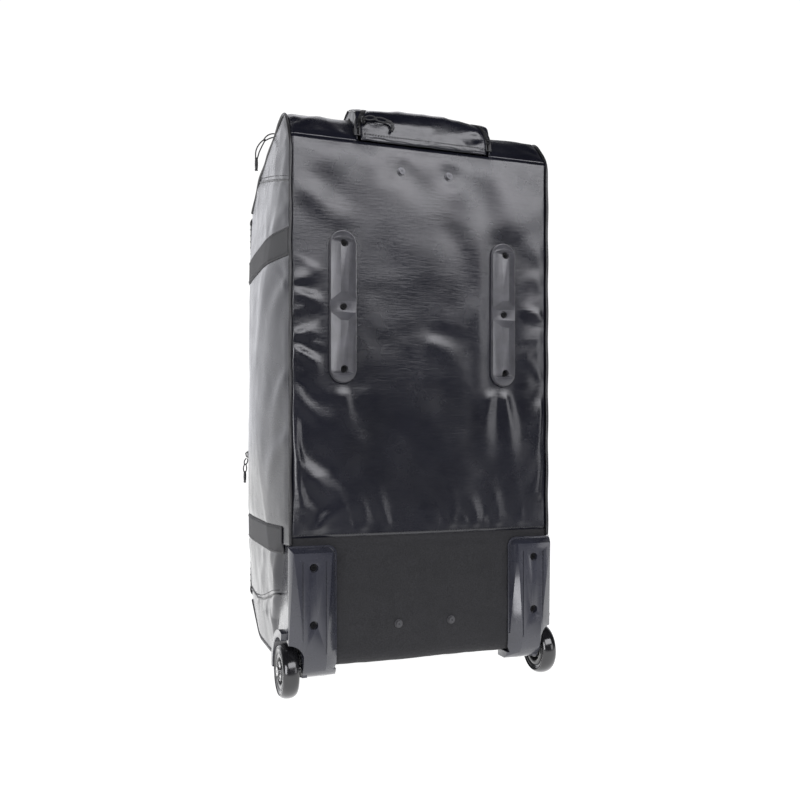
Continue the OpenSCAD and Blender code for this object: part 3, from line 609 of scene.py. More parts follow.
def back_fabric():
    x, z = flat_panel_grid(-HALF_W + 1.5 * MM, HALF_W - 1.5 * MM, FOOT_SEAM, HEAD_SEAM - 0.5 * MM, 4.5 * MM)
    u, v = x / MM, z / MM
    pts = np.stack([x.ravel(), np.zeros(x.size), z.ravel()], axis=-1)
    h = 2.2 * rough(pts, (0.14, 1, 0.16), 3).reshape(x.shape)
    h += 0.4 * rough(pts, (0.06, 1, 0.045), 5).reshape(x.shape)
    folds = [
        # (points in X and Z, width, height)
        ([(-204, 741), (-165, 716), (-120, 655)], 15, 3.6),
        ([(-204, 752), (-185, 757), (-160, 752)], 10, 1.8),
        ([(-204, 716), (-170, 690), (-150, 640)], 12, -2.1),
        ([(-100, 800), (-60, 765), (-40, 735)], 21, 3.1),
        ([(-150, 800), (-140, 770), (-100, 730)], 15, 1.8),
        ([(100, 800), (120, 760), (150, 640)], 23, 3.2),
        ([(60, 800), (70, 775), (40, 745)], 15, 1.8),
        ([(-38, 768), (0, 742), (60, 735)], 19, -2.4),
        ([(38, 768), (80, 700), (95, 560)], 21, 2.5),
        ([(30, 700), (70, 640), (80, 560)], 17, -1.8),
        ([(-204, 600), (-180, 606), (-150, 640)], 11, 2.4),
        ([(-204, 585), (-175, 575), (-148, 560)], 7, 3.0),
        ([(-204, 545), (-180, 550), (-152, 560)], 6, -2.2),
        ([(-204, 520), (-180, 525), (-150, 520)], 8, 3.0),
        ([(-204, 505), (-178, 488), (-150, 462)], 8, 3.4),
        ([(-204, 455), (-185, 420), (-140, 390)], 10, 3.6),
        ([(-204, 410), (-188, 330), (-110, 262)], 13, 9.4),
        ([(-204, 385), (-194, 300), (-150, 238)], 9, 7.0),
        ([(-204, 340), (-196, 285), (-180, 238)], 8, 5.2),
        ([(-170, 236), (-150, 262), (-110, 275)], 8, 3.0),
        ([(-100, 234), (-96, 262), (-120, 330)], 10, 3.0),
        ([(-128, 452), (-120, 400), (-90, 330)], 12, 2.8),
        ([(128, 452), (140, 380), (150, 300)], 12, 3.4),
        ([(112, 452), (100, 400), (96, 330)], 12, 2.4),
        ([(204, 440), (180, 330), (150, 240)], 22, 7.0),
        ([(204, 360), (190, 300), (178, 238)], 9, 3.4),
        ([(204, 560), (175, 570), (150, 590)], 9, 3.0),
        ([(204, 610), (180, 620), (152, 616)], 11, 1.8),
        ([(204, 650), (180, 668), (150, 690)], 12, 2.1),
        ([(204, 740), (180, 720), (160, 690)], 13, 2.1),
        ([(-128, 676), (-122, 720), (-100, 765)], 15, 2.1),
        ([(128, 676), (135, 720), (160, 775)], 15, 2.2),
        ([(-60, 234), (-66, 262), (-90, 330)], 9, 2.8),
        ([(40, 234), (44, 270), (30, 330)], 10, 2.6),
        ([(120, 234), (118, 262), (100, 320)], 9, 2.8),
        ([(80, 234), (84, 256), (70, 290)], 7, 2.2),
        ([(0, 520), (40, 500), (70, 450)], 14, 1.8),
    ]
    for points, width, height in folds:
        h += crease(u, v, points, width, height)
    h += border_creases(u, v, ((-203, 233), (203, 805)), 40, 11, reach=(40, 110), tall=(0.4, 1.2))
    edge = ease(np.minimum.reduce([x + HALF_W, HALF_W - x, z - FOOT_SEAM, HEAD_SEAM - z]) / (16 * MM))
    rail_gap = np.hypot(np.maximum(0, np.abs(np.abs(x) - RAIL_X) - 20 * MM),
                        np.maximum(0, np.maximum(RAIL_LOW - z, z - RAIL_HIGH)))
    under = ease(rail_gap / (22 * MM))
    h = (h + 1.6) * edge * under
    h = np.where(h > 0, h, 0.35 * h) * MM
    pins = screw_pins(x, z, CUP_SCREW_Z)
    h = np.clip(h, -1.0 * MM, 9 * MM) * pins - 0.25 * MM * (1 - pins)
    # the opened flap and its grip hang against this strip
    below = (HEAD_SEAM - z) / MM
    room = -1.0 + 0.16 * below + 20 * ease((below - 38) / 14)
    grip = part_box("flap_pull_grip")
    beside = ease((np.maximum(grip[0][0] - x, x - grip[1][0]) - 4 * MM) / (34 * MM))
    room = np.minimum(room, -0.3 + 14 * np.maximum(beside, ease((below - 44) / 26)))
    room = room + 20 * ease((np.abs(x) - POCKET_X - 5 * MM) / (12 * MM))
    h = np.minimum(h, room * MM)
    calm = h.copy()
    for _ in range(9):
        calm[1:-1, 1:-1] = (calm[:-2, 1:-1] + calm[2:, 1:-1] + calm[1:-1, :-2] + calm[1:-1, 2:]) / 4
    share = ease((z - 560 * MM) / (140 * MM)) * pins
    h = h * (1 - share) + calm * share
    grid = at(x, -0.3 * MM - h, z)
    panel = sheet_object("fabric_back", grid, "tarpaulin", "bag", inward=(0, 1, 0))
    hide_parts("back_panel")
    hem = [at(np.linspace(-HALF_W + 2 * MM, HALF_W - 2 * MM, 90), -0.8 * MM, FOOT_SEAM + 3.2 * MM)]
    stitch_object("stitches_back", [(h, np.tile([0, -1.0, 0], (len(h), 1))) for h in hem], "bag")


def base_fabric():
    path = round_corners([(0, FOOT_SEAM), (0, BASE_Z), TOE, (RIM_D, RIM_BASE - 3 * MM)], 22 * MM, 9)
    path = resample(path, 112)
    tangent = np.gradient(path, axis=0)
    tangent /= np.linalg.norm(tangent, axis=1)[:, None]
    normal = np.stack([tangent[:, 1], -tangent[:, 0]], axis=-1)
    cols = 90
    narrow = (path[:, 0] < WELL_D) & (path[:, 1] < WELL_TOP)
    width = np.where(narrow, HALF_W - 27 * MM, HALF_W - 2.5 * MM)
    across = np.linspace(-1, 1, cols)
    x = width[:, None] * across[None, :]
    d = np.repeat(path[:, :1], cols, 1)
    z = np.repeat(path[:, 1:], cols, 1)
    pts = np.stack([x.ravel(), d.ravel(), z.ravel()], axis=-1)
    h = 1.2 * rough(pts, (0.09, 0.09, 0.07), 8).reshape(x.shape) + 0.5 * rough(pts, (0.03, 0.03, 0.03),
                                                                               9).reshape(x.shape)
    h = (h + 1.0) * ease((1 - np.abs(across))[None, :] * HALF_W / (14 * MM))
    h *= ease(np.minimum(np.arange(112), 111 - np.arange(112)) / 4)[:, None]
    pins = np.where(d < 10 * MM, screw_pins(x, z, BRACKET_SCREW_Z), 1)
    h = np.clip(h, -0.5, 3.0) * MM * pins
    grid = at(x, d - normal[:, :1] * h, z - normal[:, 1:] * h)
    panel = sheet_object("fabric_base", grid, "ballistic", "bag", inward=(0, 0.7, 0.7))
    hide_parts("base_panel")


def head_fabric():
    path = resample(head_path(), 86)
    tangent = np.gradient(path, axis=0)
    tangent /= np.linalg.norm(tangent, axis=1)[:, None]
    normal = np.stack([-tangent[:, 1], tangent[:, 0]], axis=-1)
    inner = POCKET_X + 2 * MM
    xs = np.concatenate([np.linspace(-HALF_W + 1.5 * MM, -inner, 22), np.linspace(-inner, inner, 44)[1:-1],
                         np.linspace(inner, HALF_W - 1.5 * MM, 22)])
    x, d = np.meshgrid(xs, path[:, 0])
    z = np.repeat(path[:, 1:], len(xs), 1)
    pts = np.stack([x.ravel(), d.ravel(), z.ravel()], axis=-1)
    h = 1.8 * rough(pts, (0.10, 0.10, 0.10), 21).reshape(x.shape) + 0.6 * rough(pts, (0.03, 0.04, 0.04),
                                                                                22).reshape(x.shape)
    h += border_creases(x / MM, d / MM, ((-203, 0), (203, 310)), 24, 31, tall=(0.6, 1.6))
    length = np.linspace(0, 1, len(path))[:, None] * HEAD_LENGTH
    edge = ease(np.minimum(HALF_W - np.abs(x), np.minimum(length, HEAD_LENGTH - length)) / (14 * MM))
    loft = 4.2 * np.exp(-((length / MM - 66) / 34) ** 2) * ease((HALF_W - np.abs(x)) / (8 * MM))
    h = (np.clip((h + 1.2) * edge, -1.0, 3.5) + loft) * MM
    grid = at(x, d + normal[:, :1] * h, z + normal[:, 1:] * h)
    hole = (np.abs(x[:-1, :-1] + x[1:, 1:]) / 2 < inner) & (d[:-1, :-1] < 62 * MM)
    panel = sheet_object("fabric_head", grid, "tarpaulin", "bag", skip=hole, inward=(0, -0.3, -1))
    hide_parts("top_panel")


def side_fabric(sign):
    word = "right" if sign > 0 else "left"
    rows, cols = 172, 64
    summit = HEAD_LINE[SUMMIT, 1]
    z = np.linspace(BASE_Z, summit - 0.4 * MM, rows)
    z = np.sort(np.concatenate([z, [HOUSING_TOP - 1 * MM, HOUSING_TOP, WELL_TOP]]))
    rear, front = rear_depth(z), front_depth(z)
    t = np.linspace(0, 1, cols)
    d = rear[:, None] + (front - rear)[:, None] * t[None, :]
    z = np.repeat(z[:, None], cols, 1)
    x = side_out(d, z)
    pts = np.stack([d.ravel() + sign, d.ravel(), z.ravel()], axis=-1)
    h = 1.9 * rough(pts, (9, 0.13, 0.19), 41 + sign).reshape(x.shape)
    h += 0.5 * rough(pts, (9, 0.045, 0.07), 51 + sign).reshape(x.shape)
    u, v = d / MM, z / MM
    folds = [
        ([(2, 700), (40, 690), (90, 640)], 12, 3.0), ([(2, 600), (50, 560), (70, 470)], 14, 3.4),
        ([(2, 470), (40, 430), (60, 330)], 12, 3.0), ([(2, 380), (60, 340), (90, 262)], 12, 2.6),
        ([(250, 790), (200, 700), (210, 560)], 16, 3.2), ([(308, 600), (260, 560), (230, 470)], 14, 3.0),
        ([(308, 420), (260, 380), (240, 300)], 14, 3.0), ([(120, 205), (140, 170), (190, 120)], 12, 2.6),
        ([(60, 205), (90, 165), (110, 110)], 11, 2.4), ([(230, 205), (240, 160), (280, 120)], 12, 2.2),
        ([(6, 800), (60, 790), (120, 800)], 9, 2.0), ([(90, 672), (110, 705), (150, 750)], 12, 2.2),
    ]
    for points, width, height in folds:
        h += crease(u, v, points, width * 1.2, height * 0.6)
    h += border_creases(u, v, ((0, 90), (312, 800)), 40, 60 + sign, tall=(0.3, 1.1))
    for seam in (upper_seam(d), lower_seam(d)):
        h -= 2.4 * np.exp(-((z - seam) / (5 * MM)) ** 2)
    for middle in STRAP_Z:
        away = np.abs(z - middle)
        h -= 1.4 * ease(1 - (away - 17 * MM) / (10 * MM)) + h * 0.75 * ease(1 - (away - 16 * MM) / (16 * MM))
    edge = ease(np.minimum.reduce([d - rear[:, None], front[:, None] - d]) / (14 * MM))
    top = ease((summit - z) / (26 * MM)) * ease((z - BASE_Z) / (12 * MM))
    h = np.clip((h + 1.0) * edge * top, -3.5, 6) * MM
    under_flank = ease((d - rear[:, None]) / (24 * MM))
    tucked = HALF_W - 1.2 * MM
    x = np.where(z < HOUSING_TOP, tucked + (x + h - tucked) * under_flank, x + h)
    SIDE_SHAPE[sign] = (d, z, x)
    panel = sheet_object("fabric_side_" + word, at(sign * x, d, z), "tarpaulin", "bag", inward=(-sign, 0, 0))
    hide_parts("side_panel_" + word)


STRAP_Z = (227 * MM, 655 * MM)
STRAP_W = 40 * MM
SIDE_SHAPE = {}


def side_surface(sign, d, z):
    """The creased side's distance from the middle plane, at depths d and heights z."""
    grid_d, grid_z, grid_x = SIDE_SHAPE[sign]
    zs = grid_z[:, 0]
    out = []
    for dd, zz in zip(np.ravel(d), np.ravel(z)):
        i = int(np.clip(np.searchsorted(zs, zz) - 1, 0, len(zs) - 2))
        w = (zz - zs[i]) / (zs[i + 1] - zs[i])
        a = np.interp(dd, grid_d[i], grid_x[i])
        b = np.interp(dd, grid_d[i + 1], grid_x[i + 1])
        out.append(a + (b - a) * w)
    return np.array(out).reshape(np.shape(d))


def side_normal(sign, d, z):
    step = 4 * MM
    dd = (side_surface(sign, d + step, z) - side_surface(sign, d - step, z)) / (2 * step)
    dz = (side_surface(sign, d, z + step) - side_surface(sign, d, z - step)) / (2 * step)
    n = np.stack([sign * np.ones_like(dd), -dd, -dz], axis=-1)
    return n / np.linalg.norm(n, axis=-1)[..., None]


def side_seams(sign):
    """Welted cross seams, with a row of stitches above each."""
    word = "right" if sign > 0 else "left"
    welts, runs = [], []
    for seam, d0, d1 in ((upper_seam, 1 * MM, 236 * MM), (lower_seam, 54 * MM, RIM_D - 4 * MM)):
        d = np.linspace(d0, d1, 70)
        z = seam(d)
        x = side_surface(sign, d, z)
        welts.append(at(sign * (x + 0.5 * MM), d, z))
        up = z + 6 * MM
        runs.append((at(sign * (side_surface(sign, d, up) + 0.1 * MM), d, up), side_normal(sign, d, up)))
    tube_object("welts_" + word, welts, 1.5 * MM, "piping", "bag")
    stitch_object("stitches_side_" + word, runs, "bag")


def side_webbing(sign):
    word = "right" if sign > 0 else "left"
    for middle, level, d0 in zip(STRAP_Z, ("lower", "upper"), (24 * MM, 2 * MM)):
        d = np.linspace(d0, RIM_D - 3 * MM, 90)
        across = np.linspace(-1, 1, 13)
        dd, a = np.meshgrid(d, across)
        zz = middle + a * STRAP_W / 2
        x = side_surface(sign, dd, zz)
        ribs = 0.35 * MM * np.abs(np.cos(a * 6 * math.pi))
        lift = 0.7 * MM + 0.9 * MM * np.sqrt(np.clip(1 - a ** 8, 0, 1)) + ribs
        smooth = x.mean(axis=0, keepdims=True)
        x = np.maximum(x, 0.6 * x + 0.4 * smooth)
        strap = sheet_object("webbing_%s_%s" % (level, word), at(sign * (x + lift), dd, zz), "webbing", "bag",
                             thickness=1.2 * MM, inward=(-sign, 0, 0))
        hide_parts("strap_%s_%s" % (level, word))
        runs = []
        for edge in (-0.84, 0.84):
            z_run = np.full(d.shape, middle + edge * STRAP_W / 2)
            x_run = side_surface(sign, d, z_run) + 1.9 * MM
            runs.append((at(sign * x_run, d, z_run), side_normal(sign, d, z_run)))
        stitch_object("stitches_%s_%s" % (level, word), runs, "bag", pitch=3.4 * MM)


def pipings(sign):
    """The corded edge that runs round each side, from the wheel housing over the head."""
    word = "right" if sign > 0 else "left"
    loop = round_corners([(-1.8 * MM, HOUSING_TOP + 1 * MM), (-1.8 * MM, HEAD_SEAM - 1 * MM),
                          (RIDGE[0], RIDGE[1] + 2.4 * MM), (CREST[0], CREST[1] + 2.4 * MM),
                          (RIM_D, RIM_TOP + 4 * MM)], 22 * MM, 8)
    loop = resample(loop, 230)
    x = np.full(len(loop), HALF_W - 0.2 * MM) + 0.5 * MM * np.sin(np.arange(len(loop)) * 0.31)
    edge = at(sign * x, loop[:, 0], loop[:, 1])
    low = round_corners([(WELL_D + 2 * MM, BASE_Z - 1 * MM), (TOE[0], BASE_Z - 1 * MM),
                         (RIM_D, RIM_BASE - 5 * MM)], 20 * MM, 8)
    low = resample(low, 70)
    under = at(sign * (HALF_W - 0.6 * MM), low[:, 0], low[:, 1])
    cord = tube_object("edge_cord_" + word, [edge, under], 2.3 * MM, "piping", "bag", sides=12)
    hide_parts("piping_" + word)


# ---- lid, rim and pockets ----------------------------------------------------------

RING_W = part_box("opening_rim")[1][0]
RING_MID = (RIM_TOP + RIM_BASE) / 2
RING_H = (RIM_TOP - RIM_BASE) / 2
LID_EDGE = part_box("lid_shell")[0][1] - BACK_Y
CROWN = LID_FACE - LID_EDGE


def ring_points(grow=0.0, radius=12 * MM, step=4 * MM):
    """Points round the opening, from its lower right corner over the head and back, in X and Z."""
    w, h, r = RING_W + grow, RING_H + grow, max(radius + grow, 9 * MM)
    pts = []
    for cx, cz, a0 in ((w - r, h - r, 0), (-(w - r), h - r, 90), (-(w - r), -(h - r), 180),
                       (w - r, -(h - r), 270)):
        for k in range(9):
            a = math.radians(a0 + k * 90 / 8)
            pts.append((cx + r * math.cos(a), RING_MID + cz + r * math.sin(a)))
    pts.append(pts[0])
    pts = np.array(pts)
    length = np.linalg.norm(np.diff(pts, axis=0), axis=1).sum()
    return resample(pts, int(length / step))


def ring_normals(pts):
    t = np.gradient(pts, axis=0)
    n = np.stack([t[:, 1], -t[:, 0]], axis=-1)
    n /= np.linalg.norm(n, axis=1)[:, None] + 1e-12
    return np.stack([n[:, 0], np.zeros(len(n)), n[:, 1]], axis=-1)


def rim_binding():
    ring = ring_points(0.0)[:-1]
    n = ring_normals(np.vstack([ring[-1:], ring, ring[:1]]))[1:-1]
    profile = [(312.6, 1.2), (313.4, 2.6), (315, 3.2), (317, 3.1), (319, 2.4), (319.6, 0.6), (319.4, -2.0),
               (316, -3.4), (313, -2.6)]
    verts = np.array([[[p[0] + m[0] * (g - 3) * MM, BACK_Y + d * MM, p[1] + m[2] * (g - 3) * MM]
                       for d, g in profile] for p, m in zip(ring, n)])
    rows, cols = verts.shape[:2]
    faces = grid_faces(rows, cols, closed=True)
    faces += closing_faces(rows, cols)
    band = mesh_object("rim_binding", verts.reshape(-1, 3), faces, "piping", "bag")
    tidy_mesh(band, None)
    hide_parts("opening_rim")
    p3 = at(ring[:, 0] + n[:, 0] * 0.2 * MM, 315.2 * MM, ring[:, 1] + n[:, 2] * 0.2 * MM)
    stitch_object("stitches_rim", [(p3, n)], "bag", pitch=5 * MM)


def main_zip():
    ring = ring_points(0.5 * MM, 12 * MM, 2.0 * MM)
    n = ring_normals(ring)
    keep = ~((ring[:, 0] > RING_W - 9 * MM) & (np.abs(ring[:, 1] - RING_MID) < RING_H - 14 * MM))
    first = int(np.argmax(keep))
    order = np.concatenate([np.arange(first, len(ring)),
                            np.arange(1, first)]) if first else np.arange(len(ring))
    order = [i for i in order if keep[i]]
    path, normal = ring[order], n[order]
    for word, body, side, d, node in (("bag", "bag", -1, ZIP_SPLIT, "main_zip_bag_teeth"),
                                      ("lid", "lid", 1, ZIP_SPLIT, "main_zip_lid_teeth")):
        p = at(path[:, 0], d, path[:, 1])
        t = np.gradient(p, axis=0)
        s = np.cross(normal, t)
        way = side * (1 if s[len(s) // 2][1] > 0 else -1)
        half = zip_object("zip_main_" + word, p, normal, way, body, tape=8.5 * MM)
        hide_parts(node)


def lid_height(g, soft):
    g = np.clip(g, 0, 1)
    return (CROWN - 6 * MM) * np.sqrt(1 - g ** 8) + 6 * MM * (1 - g ** 2) + soft


def lid_fabric():
    t = np.linspace(-1, 1, 121)
    a = np.sign(t) * (1 - (1 - np.abs(t)) ** 1.9)
    aa, bb = np.meshgrid(a, a)
    cheb = np.maximum(np.abs(aa), np.abs(bb))
    p = 16.0
    pn = (np.abs(aa) ** p + np.abs(bb) ** p) ** (1 / p) + 1e-9
    u, v = aa * cheb / pn, bb * cheb / pn
    g = cheb
    x, z = u * (RING_W - 0.6 * MM), RING_MID + v * (RING_H - 0.6 * MM)
    pts = np.stack([x.ravel(), np.zeros(x.size), z.ravel()], axis=-1)
    h = 2.0 * rough(pts, (0.13, 1, 0.17), 71).reshape(x.shape) + 0.6 * rough(pts, (0.04, 1, 0.05),
                                                                             72).reshape(x.shape)
    h += border_creases(x / MM, z / MM, ((-200, 96), (200, 764)), 60, 73, reach=(40, 120), tall=(0.8, 2.4))
    folds = [([(-200, 700), (-120, 640), (-60, 520)], 18, 3.0),
             ([(200, 720), (130, 660), (90, 560)], 18, 3.0),
             ([(200, 140), (150, 190), (152, 300)], 16, 2.6),
             ([(-200, 150), (-160, 200), (-158, 330)], 16, 2.6),
             ([(-60, 764), (-30, 700), (20, 620)], 18, 2.4), ([(0, 96), (10, 130), (60, 172)], 12, 2.0)]
    for points, width, height in folds:
        h += crease(x / MM, z / MM, points, width, height)
    pocket = np.maximum(np.abs(x) - 150 * MM, np.abs(z - 306 * MM) - 138 * MM)
    free = ease(pocket / (22 * MM)) * 0.92 + 0.08
    soft = np.clip((h + 0.6) * free * ease((1 - g) / 0.10), -2.6, 5) * MM
    soft = soft * np.where(pocket < 4 * MM, 0, 1)
    d = LID_EDGE + lid_height(g, 0) + soft - 0.8 * MM * ease((1 - g) / 0.05)
    panel = sheet_object("fabric_lid", at(x, d, z), "tarpaulin", "lid", inward=(0, -1, 0), thickness=1.6 * MM)
    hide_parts("lid_shell")
    ring = ring_points(-26 * MM, 12 * MM, 5 * MM)[:-1]
    uu, vv = ring[:, 0] / RING_W, (ring[:, 1] - RING_MID) / RING_H
    gg = (np.abs(uu) ** p + np.abs(vv) ** p) ** (1 / p)
    dd = LID_EDGE + lid_height(gg, 0) + 0.2 * MM
    tube_object("welt_lid", [at(ring[:, 0], dd, ring[:, 1])], 1.8 * MM, "piping", "lid", closed=True)


def lid_pocket():
    low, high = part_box("lid_pocket")
    w, h, mid = high[0], (high[2] - low[2]) / 2, (high[2] + low[2]) / 2
    t = np.linspace(-1, 1, 71)
    a = np.sign(t) * (1 - (1 - np.abs(t)) ** 1.6)
    aa, bb = np.meshgrid(a, a)
    cheb = np.maximum(np.abs(aa), np.abs(bb))
    pn = (np.abs(aa) ** 9 + np.abs(bb) ** 9) ** (1 / 9) + 1e-9
    x, z = aa * cheb / pn * w, mid + bb * cheb / pn * h
    pts = np.stack([x.ravel(), np.zeros(x.size), z.ravel()], axis=-1)
    soft = 1.6 * rough(pts, (0.10, 1, 0.09), 81).reshape(x.shape)
    soft += border_creases(x / MM, z / MM, ((-148, 177), (148, 423)), 26, 82, tall=(0.8, 2.2))
    puffed = np.clip((soft + 1) * ease((1 - cheb) / 0.12), 0, 5) * MM
    depth = LID_FACE + 0.4 * MM + 3.6 * MM * np.sqrt(1 - cheb ** 8) + puffed
    panel = sheet_object("fabric_lid_pocket", at(x, depth, z), "tarpaulin", "lid", inward=(0, -1, 0))
    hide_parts("lid_pocket")
    rim = [(s * w * 0.985, mid + c * h * 0.985) for s, c in ((-1, -1), (1, -1), (1, 1), (-1, 1))]
    ring = round_corners([((rim[0][0] + rim[1][0]) / 2,
                           rim[0][1])] + rim[1:] + [rim[0], ((rim[0][0] + rim[1][0]) / 2, rim[0][1])],
                         24 * MM, 8)
    ring = resample(ring, 180)[:-1]
    tube_object("welt_lid_pocket", [at(ring[:, 0], LID_FACE + 1.8 * MM, ring[:, 1])], 1.6 * MM, "piping",
                "lid", closed=True)
    zlow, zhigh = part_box("lid_pocket_zip")
    zx = np.linspace(zlow[0], zhigh[0], 120)
    run = at(zx, LID_FACE + 2.6 * MM, (zlow[2] + zhigh[2]) / 2)
    out = np.tile([0, 1.0, 0], (len(run), 1))
    a_half = zip_object("zip_lid_pocket_upper", run, out, 1, "lid", tape=7.5 * MM)
    zip_object("zip_lid_pocket_lower", run, out, -1, "lid", tape=7.5 * MM)
    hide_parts("lid_pocket_zip")
    slider_object("slider_lid_pocket", run[6] + [0, 2.0 * MM, 0], (1, 0, 0), (0, 1, 0), "lid", length=10 * MM)


# ---- flap over the handle ----------------------------------------------------------

FLAP_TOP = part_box("flap")[1][2]
FLAP_D = 44 * MM
FLAP_EDGE = FLAP_TOP - 2.1 * MM
FLAP_LINE = [(0, HEAD_SEAM + 1.5 * MM), (4 * MM, 838 * MM), (11 * MM, 855 * MM), (FLAP_D, FLAP_EDGE)]
HOOD_FOOT = (96 * MM, RIDGE[1] - 56 * MM * math.tan(HEAD_TILT) + 2.4 * MM)
HOOD_LINE = [(46 * MM, FLAP_EDGE), (58 * MM, FLAP_EDGE - 2 * MM), HOOD_FOOT]
CORNER_X, CORNER_Z = 36 * MM, 826 * MM


def crown(x, d, z):
    """How much the filled pocket lifts the top of the flap and hood."""
    middle = np.maximum(0, 1 - (x / POCKET_X) ** 2)
    return 4.4 * MM * middle * ease((z - 838 * MM) / (22 * MM)) * ease((94 * MM - d) / (36 * MM))


def flap_half(z):
    """Half the flap's width at height z: its upper corners are rounded."""
    t = np.clip((z - CORNER_Z) / (FLAP_EDGE + 0.2 * MM - CORNER_Z), 0, 1)
    return POCKET_X - CORNER_X + CORNER_X * np.sqrt(1 - t ** 2)


def outward(path):
    t = np.gradient(path, axis=0)
    t /= np.linalg.norm(t, axis=1)[:, None] + 1e-12
    return np.stack([-t[:, 1], t[:, 0]], axis=-1)


def flap_fabric():
    path = resample(round_corners(FLAP_LINE, 14 * MM, 8), 40)
    n = outward(path)
    wide = (flap_half(path[:, 1]) - 2.6 * MM)[:, None]
    x = np.linspace(-1, 1, 64)
    xx = wide * x[None, :]
    dd = np.repeat(path[:, :1], len(x), 1)
    zz = np.repeat(path[:, 1:], len(x), 1)
    s = np.linspace(0, 1, len(path))[:, None]
    dome = 3.4 * (1 - np.abs(x[None, :]) ** 2.6) * np.sin(math.pi * np.clip(s * 1.02, 0, 1)) ** 0.7
    pts = np.stack([xx.ravel(), dd.ravel(), zz.ravel()], axis=-1)
    h = dome + 1.6 * rough(pts, (0.07, 0.05, 0.04), 91).reshape(xx.shape)
    h += border_creases(xx / MM, s * 100 + 0 * xx, ((-100, 0), (100, 100)), 20, 92, reach=(20, 50),
                        tall=(0.6, 1.6))
    h += crease(xx / MM, s * 100 + 0 * xx, [(-96, 30), (-40, 40), (30, 34)], 9, 2.0)
    h += crease(xx / MM, s * 100 + 0 * xx, [(98, 48), (50, 36), (0, 40)], 9, 1.8)
    edge = ease(np.minimum(wide - np.abs(xx), (0.995 - s) * 100 * MM) / (10 * MM))
    h = np.clip(h * edge, -0.6, 6) * MM
    grid = at(xx, dd + n[:, :1] * (h + 1.2 * MM), zz + n[:, 1:] * (h + 1.2 * MM) + crown(xx, dd, zz))
    panel = sheet_object("fabric_flap", grid, "tarpaulin", "flap", inward=(0, 1, -0.6))
    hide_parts("flap")
    hem = np.linspace(-POCKET_X + 4 * MM, POCKET_X - 4 * MM, 90)
    wave = 1.1 * MM * np.sin(hem / (15 * MM)) + 0.7 * MM * np.sin(hem / (6.1 * MM) + 1)
    tube_object("flap_hem", [at(hem, -0.7 * MM + 0.2 * wave, HEAD_SEAM + 5.5 * MM + wave)], 1.3 * MM,
                "tarpaulin", "flap")
    row = at(hem, -2.0 * MM, HEAD_SEAM + 11 * MM)
    stitch_object("stitches_flap", [(row, np.tile([0, -1.0, 0], (len(row), 1)))], "flap")


def zip_line(grow):
    """The zip round three sides of the flap, with its outward direction at each point."""
    path = resample(round_corners(FLAP_LINE, 14 * MM, 8), 60)[2:-2]
    n = outward(path)
    half = flap_half(path[:, 1]) + grow
    left = at(-half, path[:, 0], path[:, 1])
    right = at(half, path[:, 0], path[:, 1])[::-1]
    n3 = np.stack([np.zeros(len(n)), n[:, 0], n[:, 1]], axis=-1)
    xs = np.linspace(-1, 1, 60) * (half[-1] - 6 * MM)
    across = at(xs, FLAP_D + 1 * MM, FLAP_LINE[-1][1] + 0.2 * MM)
    n_top = np.tile([0, -0.05, 1.0], (len(xs), 1))
    pts = np.vstack([left, across, right])
    ns = np.vstack([n3, n_top, n3[::-1]])
    pts[:, 2] += crown(pts[:, 0], pts[:, 1], pts[:, 2])
    return np.hstack([pts, ns])


def flap_zips():
    both = zip_line(1.2 * MM)
    smooth = resample(both[:, :6], 420)
    for _ in range(14):
        smooth[1:-1] = (smooth[:-2] + smooth[1:-1] * 2 + smooth[2:]) / 4
    path, normal = smooth[:, :3], smooth[:, 3:]
    normal /= np.linalg.norm(normal, axis=1)[:, None]
    t = np.gradient(path, axis=0)
    s = np.cross(normal, t)
    inside = 1 if s[30][0] > 0 else -1
    low = path[:, 2] > HEAD_SEAM + 6 * MM
    moving = zip_object("zip_flap", path[low] + normal[low] * 0.9 * MM, normal[low], inside, "flap",
                        tape=7 * MM)
    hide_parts("flap_zip_teeth")
    fixed = zip_object("zip_hood", path[low] + normal[low] * 0.9 * MM, normal[low], -inside, "bag",
                       tape=5.5 * MM)
    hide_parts("hood_zip_teeth")


